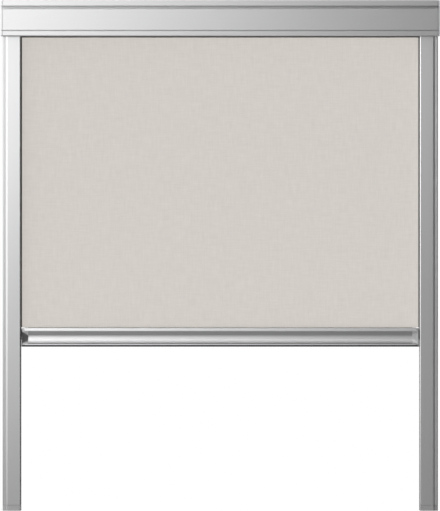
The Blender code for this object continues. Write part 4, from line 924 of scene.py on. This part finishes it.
def make_brush(name, start, end, width, backing, length, tufts, rows_of_tufts, seed):
    """A backing along start to end with tufts; width, backing and length are vectors."""
    chance = random.Random(seed)
    run = end - start
    points, faces = [], []

    def add_box(corner, edges):
        base = len(points)
        for i in range(8):
            picked = [edge for bit, edge in enumerate(edges) if i >> bit & 1]
            points.append(tuple(sum(picked, corner.copy())))
        for quad in BOX_FACES:
            faces.append(tuple(base + i for i in quad))

    add_box(start, [run, width, backing])
    add_box(start + width * FILM_PLACE + backing * 0.5,
            [run, width * FILM_THICKNESS, length * FILM_REACH - backing * 0.5])
    reach = length - backing
    along = run.normalized()
    across = width.normalized()
    thick = run.length / tufts * TUFT_FILL / 2
    for row in range(rows_of_tufts):
        for i in range(tufts):
            share = (i + 0.5 + chance.uniform(-TUFT_JITTER, TUFT_JITTER)) / tufts
            root = start + run * share + width * ((row + 0.5) / rows_of_tufts) + backing * ROOT_DEPTH
            tall = reach * chance.uniform(TUFT_SHORTEST, 1.0)
            lean = along * chance.uniform(-TUFT_LEAN, TUFT_LEAN) * reach.length
            a = len(points)
            for place, radius in ((root, thick), (root + tall + lean, thick * TUFT_TIP)):
                points.extend(tuple(place + along * u * radius + across * w * radius)
                              for u, w in TUFT_TRIANGLE)
            faces.extend([(a, a + 1, a + 2), (a + 3, a + 5, a + 4), (a, a + 3, a + 4, a + 1),
                          (a + 1, a + 4, a + 5, a + 2), (a + 2, a + 5, a + 3, a)])
    return new_piece(name, points, faces, [pile_black])


print("a tuft has", len(TUFT_TRIANGLE), "sides")

# %% [markdown]
# The strip under the headbox points down and meets the cloth, so that no light falls over the
# roller. It shows as the dark line over the cloth.

# %% Brush under the headbox
SEAL_BACKING = 2.6 * MM
SEAL_SIDE = 0.2 * MM

seal = make_brush("headbox_brush",
                  start=Vector((seal_low.x, seal_low.y + SEAL_SIDE, seal_high.z)),
                  end=Vector((seal_high.x, seal_low.y + SEAL_SIDE, seal_high.z)),
                  width=Vector((0, seal_high.y - seal_low.y - 2 * SEAL_SIDE, 0)),
                  backing=Vector((0, 0, seal_low.z + SEAL_BACKING - seal_high.z)),
                  length=Vector((0, 0, seal_low.z - seal_high.z)),
                  tufts=1100, rows_of_tufts=3, seed=3)
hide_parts("headbox_seal")
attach(seal, "frame")
print("brush under the headbox:", len(seal.data.polygons), "faces")

# %% [markdown]
# Each rail holds a strip that points inwards and wipes the cloth's side. It stands out of the
# rail by less than a millimetre and ends just above the rail's foot.

# %% Brushes in the rails
RAIL_BACKING = 0.75
FOOT_CLEARANCE = 0.5 * MM

for side_name, side in (("left", -1), ("right", 1)):
    low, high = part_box(f"rail_pile_{side_name}")
    inner_x = high.x if side < 0 else low.x
    outer_x = low.x if side < 0 else high.x
    foot_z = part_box(f"rail_foot_{side_name}")[0].z + FOOT_CLEARANCE
    brush = make_brush(f"rail_brush_{side_name}",
                       start=Vector((outer_x, low.y, foot_z)),
                       end=Vector((outer_x, low.y, high.z)),
                       width=Vector((0, high.y - low.y, 0)),
                       backing=Vector((inner_x - outer_x, 0, 0)) * RAIL_BACKING,
                       length=Vector((inner_x - outer_x, 0, 0)),
                       tufts=1300, rows_of_tufts=4, seed=11 + side)
    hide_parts(f"rail_pile_{side_name}")
    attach(brush, "frame")
    print(brush.name, len(brush.data.polygons), "faces")

# %% [markdown]
# ## A dark strip on the bar
#
# Where the cloth enters the bar, a thin black strip lies in front of it on the bar's top. It is a
# dark piece put where there is only shade, a painted shadow, and from the front it shows as one dark
# hairline over the flange.

# %% Lay the dark strip on the bar
SHADOW_STRIP_HEIGHT = 0.45 * MM
SHADOW_STRIP_DEPTH = 2.0 * MM
SHADOW_STRIP_GAP = 0.9 * MM

shadow_strip_back = cloth_low.y - SHADOW_STRIP_GAP
corners = [(x, y, z) for x in (bar_low.x, bar_high.x) for y in (shadow_strip_back - SHADOW_STRIP_DEPTH, shadow_strip_back)
           for z in (bar_top, bar_top + SHADOW_STRIP_HEIGHT)]
shadow_strip = new_piece("bar_shadow_strip", corners, BOX_FACES, [rubber.material])
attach(shadow_strip, "bar")
print("shadow_strip", [round(v / MM, 1) for v in shadow_strip.dimensions])

# %% [markdown]
# ## Light
#
# The picture shows two things at once: a cloth that is equally bright all over, and metal that
# fades from left to right and from top to bottom. The two are lit apart. Matt surfaces see an
# even soft world. Metal sees a room: white behind the blind, as the photograph's background
# is, and dim on the other sides. The camera sees plain white, and so would rays that pass
# through glass. The world can tell them apart by the kind of ray that asks.

# %% Soft world
DIFFUSE_LEVEL = 0.22
ROOM = {("X", -1): 0.20, ("X", 1): 0.04, ("Y", -1): 0.05, ("Y", 1): 1.00, ("Z", -1): 0.15,
        ("Z", 1): 0.15}
RIGHT_BEHIND = 0.32

world = bpy.data.worlds.new("studio")
bpy.context.scene.world = world
world.use_nodes = True
background = world.node_tree.nodes["Background"]
sky = Signal(world.node_tree, None)
camera_ray = sky.node("ShaderNodeLightPath", output="Is Camera Ray")
transmission_ray = sky.node("ShaderNodeLightPath", output="Is Transmission Ray")
glossy_ray = sky.node("ShaderNodeLightPath", output="Is Glossy Ray")


def facing(axis, sign):
    """How squarely a direction points along one half of an axis, squared."""
    along = sky.maths("MAXIMUM", sky.coordinate(axis, "Generated") * sign, 0.0)
    return along * along


room_level = sum((facing(axis, sign) * value for (axis, sign), value in ROOM.items()), 0)
behind = sky.coordinate("Y", "Generated") > 0.0
glossy_level = room_level + facing("X", 1) * behind * RIGHT_BEHIND
level = glossy_ray * glossy_level + (1 - glossy_ray) * DIFFUSE_LEVEL
plain_white = sky.maths("MAXIMUM", camera_ray, transmission_ray)
feed(world.node_tree, background.inputs["Strength"], plain_white + (1 - plain_white) * level)
background.inputs["Color"].default_value = (1, 1, 1, 1)
print("world:", len(world.node_tree.nodes), "nodes")

# %% [markdown]
# Two distant lamps light the matt surfaces. The one in front is nearly square to the cloth, so
# that the cloth is even and nothing casts a shadow on it. The other comes from behind and
# above and is very soft, for the backs of the pieces and the floor. Neither shows in the metal.

# %% Soft lamps


def add_sun(name, strength, softness, rotation):
    """A distant lamp that lights matt surfaces and leaves the metal's reflections alone."""
    lamp_data = bpy.data.lights.new(name, "SUN")
    lamp_data.energy = strength
    lamp_data.angle = math.radians(softness)
    lamp = bpy.data.objects.new(name, lamp_data)
    lamp.rotation_euler = [math.radians(v) for v in rotation]
    lamp.visible_glossy = False
    bpy.context.scene.collection.objects.link(lamp)


add_sun("front_lamp", strength=2.38, softness=6, rotation=(90.5, 0, -3))
add_sun("back_lamp", strength=2.0, softness=40, rotation=(-60, 0, 20))
print("lamps:", [lamp.name for lamp in bpy.data.lights])

# %% [markdown]
# The fade in the metal is a reflection, so it comes from graded cards that only reflections
# see, as a studio photographer would hang in front of the work. Each card's brightness is a
# product of two ramps, one for each of its directions. The ramps' stops are places on the card,
# in metres from the blind's origin, each with a share of the card's glow.

# %% Helpers for graded cards
CARD_DISTANCE = 1.25
CARD_LOW = (-1.7, -2.2)
CARD_HIGH = (3.0, 1.8)
WING_DEPTH = 1.2


def graded(glow, axis, low, high, stops):
    """Brightness along one axis of a card, from (place in metres, brightness) pairs."""
    placed = [((place - low) / (high - low), value) for place, value in stops]
    share = (glow.coordinate(axis) - low) / (high - low)
    ramp = glow.node("ShaderNodeValToRGB", {"stops": placed}, {"Fac": share}, output="Color")
    return glow.node("ShaderNodeSeparateColor", sockets={0: ramp})


def across_card(glow, stops):
    return graded(glow, "X", CARD_LOW[0], CARD_HIGH[0], stops)


def up_card(glow, stops):
    return graded(glow, "Z", CARD_LOW[1], CARD_HIGH[1], stops)


def add_card(name, corners, brightness):
    """A glowing card that only reflections see; brightness makes its signal from a finish."""
    card = new_piece(name, corners, [(0, 1, 2, 3)], [])
    glow = Finish(name, Base_Color=(0, 0, 0, 1), Specular_IOR_Level=0.0, Emission_Strength=1.0)
    glow.wear("Emission Color", brightness(glow).grey())
    card.data.materials.append(glow.material)
    card.visible_camera = False
    card.visible_diffuse = False
    card.visible_shadow = False
    card.visible_transmission = False
    print(name, [round(v, 2) for v in card.dimensions], "m")


print("cards hang", CARD_DISTANCE, "m in front")

# %% [markdown]
# The front card has two lights on it. One is bright at the upper left and makes the headbox
# and the rails' upper ends shine there. The other is lower and further to the right, and gives
# the grey of the rails' lower halves and the sheen in the bar's groove.

# %% Front card
LEFT_GLOW = 2.08
LEFT_ACROSS = [(-1.7, 1.0), (-0.8, 1.0), (-0.4, 0.784), (-0.1, 0.337), (0.2, 0.0)]
LEFT_UPRIGHT = [(-0.9, 0.0), (-0.6, 0.247), (-0.35, 0.61), (-0.1, 1.0), (0.2, 0.913), (0.7, 0.813),
                (1.8, 0.913)]
LOW_GLOW = 1.9
LOW_ACROSS = [(-1.7, 0.0), (-0.8, 0.453), (-0.4, 0.726), (-0.1, 0.895), (0.2, 1.0), (0.5, 0.521),
              (1.0, 0.0)]
LOW_UPRIGHT = [(-2.2, 0.64), (-1.3, 0.78), (-0.9, 0.27), (-0.6, 0.27), (-0.35, 0.13), (-0.1, 0.17),
               (0.2, 0.08), (0.7, 0.64), (1.8, 1.0)]


def front_brightness(glow):
    left = across_card(glow, LEFT_ACROSS) * up_card(glow, LEFT_UPRIGHT)
    low = across_card(glow, LOW_ACROSS) * up_card(glow, LOW_UPRIGHT)
    return left * LEFT_GLOW + low * LOW_GLOW


add_card("front_card", [(x, -CARD_DISTANCE, z) for x, z in
                        ((CARD_LOW[0], CARD_LOW[1]), (CARD_HIGH[0], CARD_LOW[1]),
                         (CARD_HIGH[0], CARD_HIGH[1]), (CARD_LOW[0], CARD_HIGH[1]))],
         front_brightness)

# %% [markdown]
# The left card closes the room at the left. It lights the faces that look that way: the left
# chamfers, the right cover's inner edge and the bar's right stop. Its foot glows only beside
# the blind and behind it, for the lower ends of the rails.

# %% Left card
WING_GLOW = 1.7
WING_UPRIGHT = [(-1.1, 0.0), (-0.7, 0.147), (-0.4, 0.929), (-0.1, 1.0), (0.4, 0.676), (1.8, 0.171)]
WING_FOOT_GLOW = 0.55
WING_FOOT_UPRIGHT = [(-1.1, 0.8), (-0.7, 1.0), (-0.6, 0.9), (-0.5, 0.4), (-0.4, 0.1), (-0.2, 0.0)]
WING_FOOT_DEPTH = [(-0.6, 0.0), (-0.25, 1.0)]


def wing_brightness(glow):
    foot = (up_card(glow, WING_FOOT_UPRIGHT)
            * graded(glow, "Y", -CARD_DISTANCE, WING_DEPTH, WING_FOOT_DEPTH))
    return up_card(glow, WING_UPRIGHT) * WING_GLOW + foot * WING_FOOT_GLOW


add_card("left_card", [(CARD_LOW[0], y, z) for y, z in
                       ((-CARD_DISTANCE, CARD_LOW[1]), (WING_DEPTH, CARD_LOW[1]),
                        (WING_DEPTH, CARD_HIGH[1]), (-CARD_DISTANCE, CARD_HIGH[1]))],
         wing_brightness)

# %% [markdown]
# ## Floor
#
# The blind hangs on a window, so the floor lies a little below it: plain, pale and matt. From
# the front it stays out of the picture, and from above it shows the blind's soft shadow. A
# little glow that only the camera sees keeps it pale without lighting the cloth from below.

# %% Pale floor
FLOOR_DROP = 0.25
FLOOR_HALF = 4.0
FLOOR_LIFT = 0.2

floor_z = solid_low.z - FLOOR_DROP
floor = new_piece("studio_floor", [(FLOOR_HALF * x, FLOOR_HALF * y, floor_z) for x, y in
                                   ((-1, -1), (1, -1), (1, 1), (-1, 1))], [(0, 1, 2, 3)], [])
paint = Finish("pale_floor", Roughness=0.8, Emission_Strength=1.0)
paint.wear("Base Color", paint.blend(paint.noise([2.0] * 3), (0.80, 0.80, 0.80, 1),
                                     (0.84, 0.84, 0.84, 1)))
lift = paint.node("ShaderNodeLightPath", output="Is Camera Ray") * FLOOR_LIFT
paint.wear("Emission Color", lift.grey())
floor.data.materials.append(paint.material)
floor.visible_glossy = False
print("floor at", round(floor_z / MM), "mm")

# %% [markdown] ## Finish
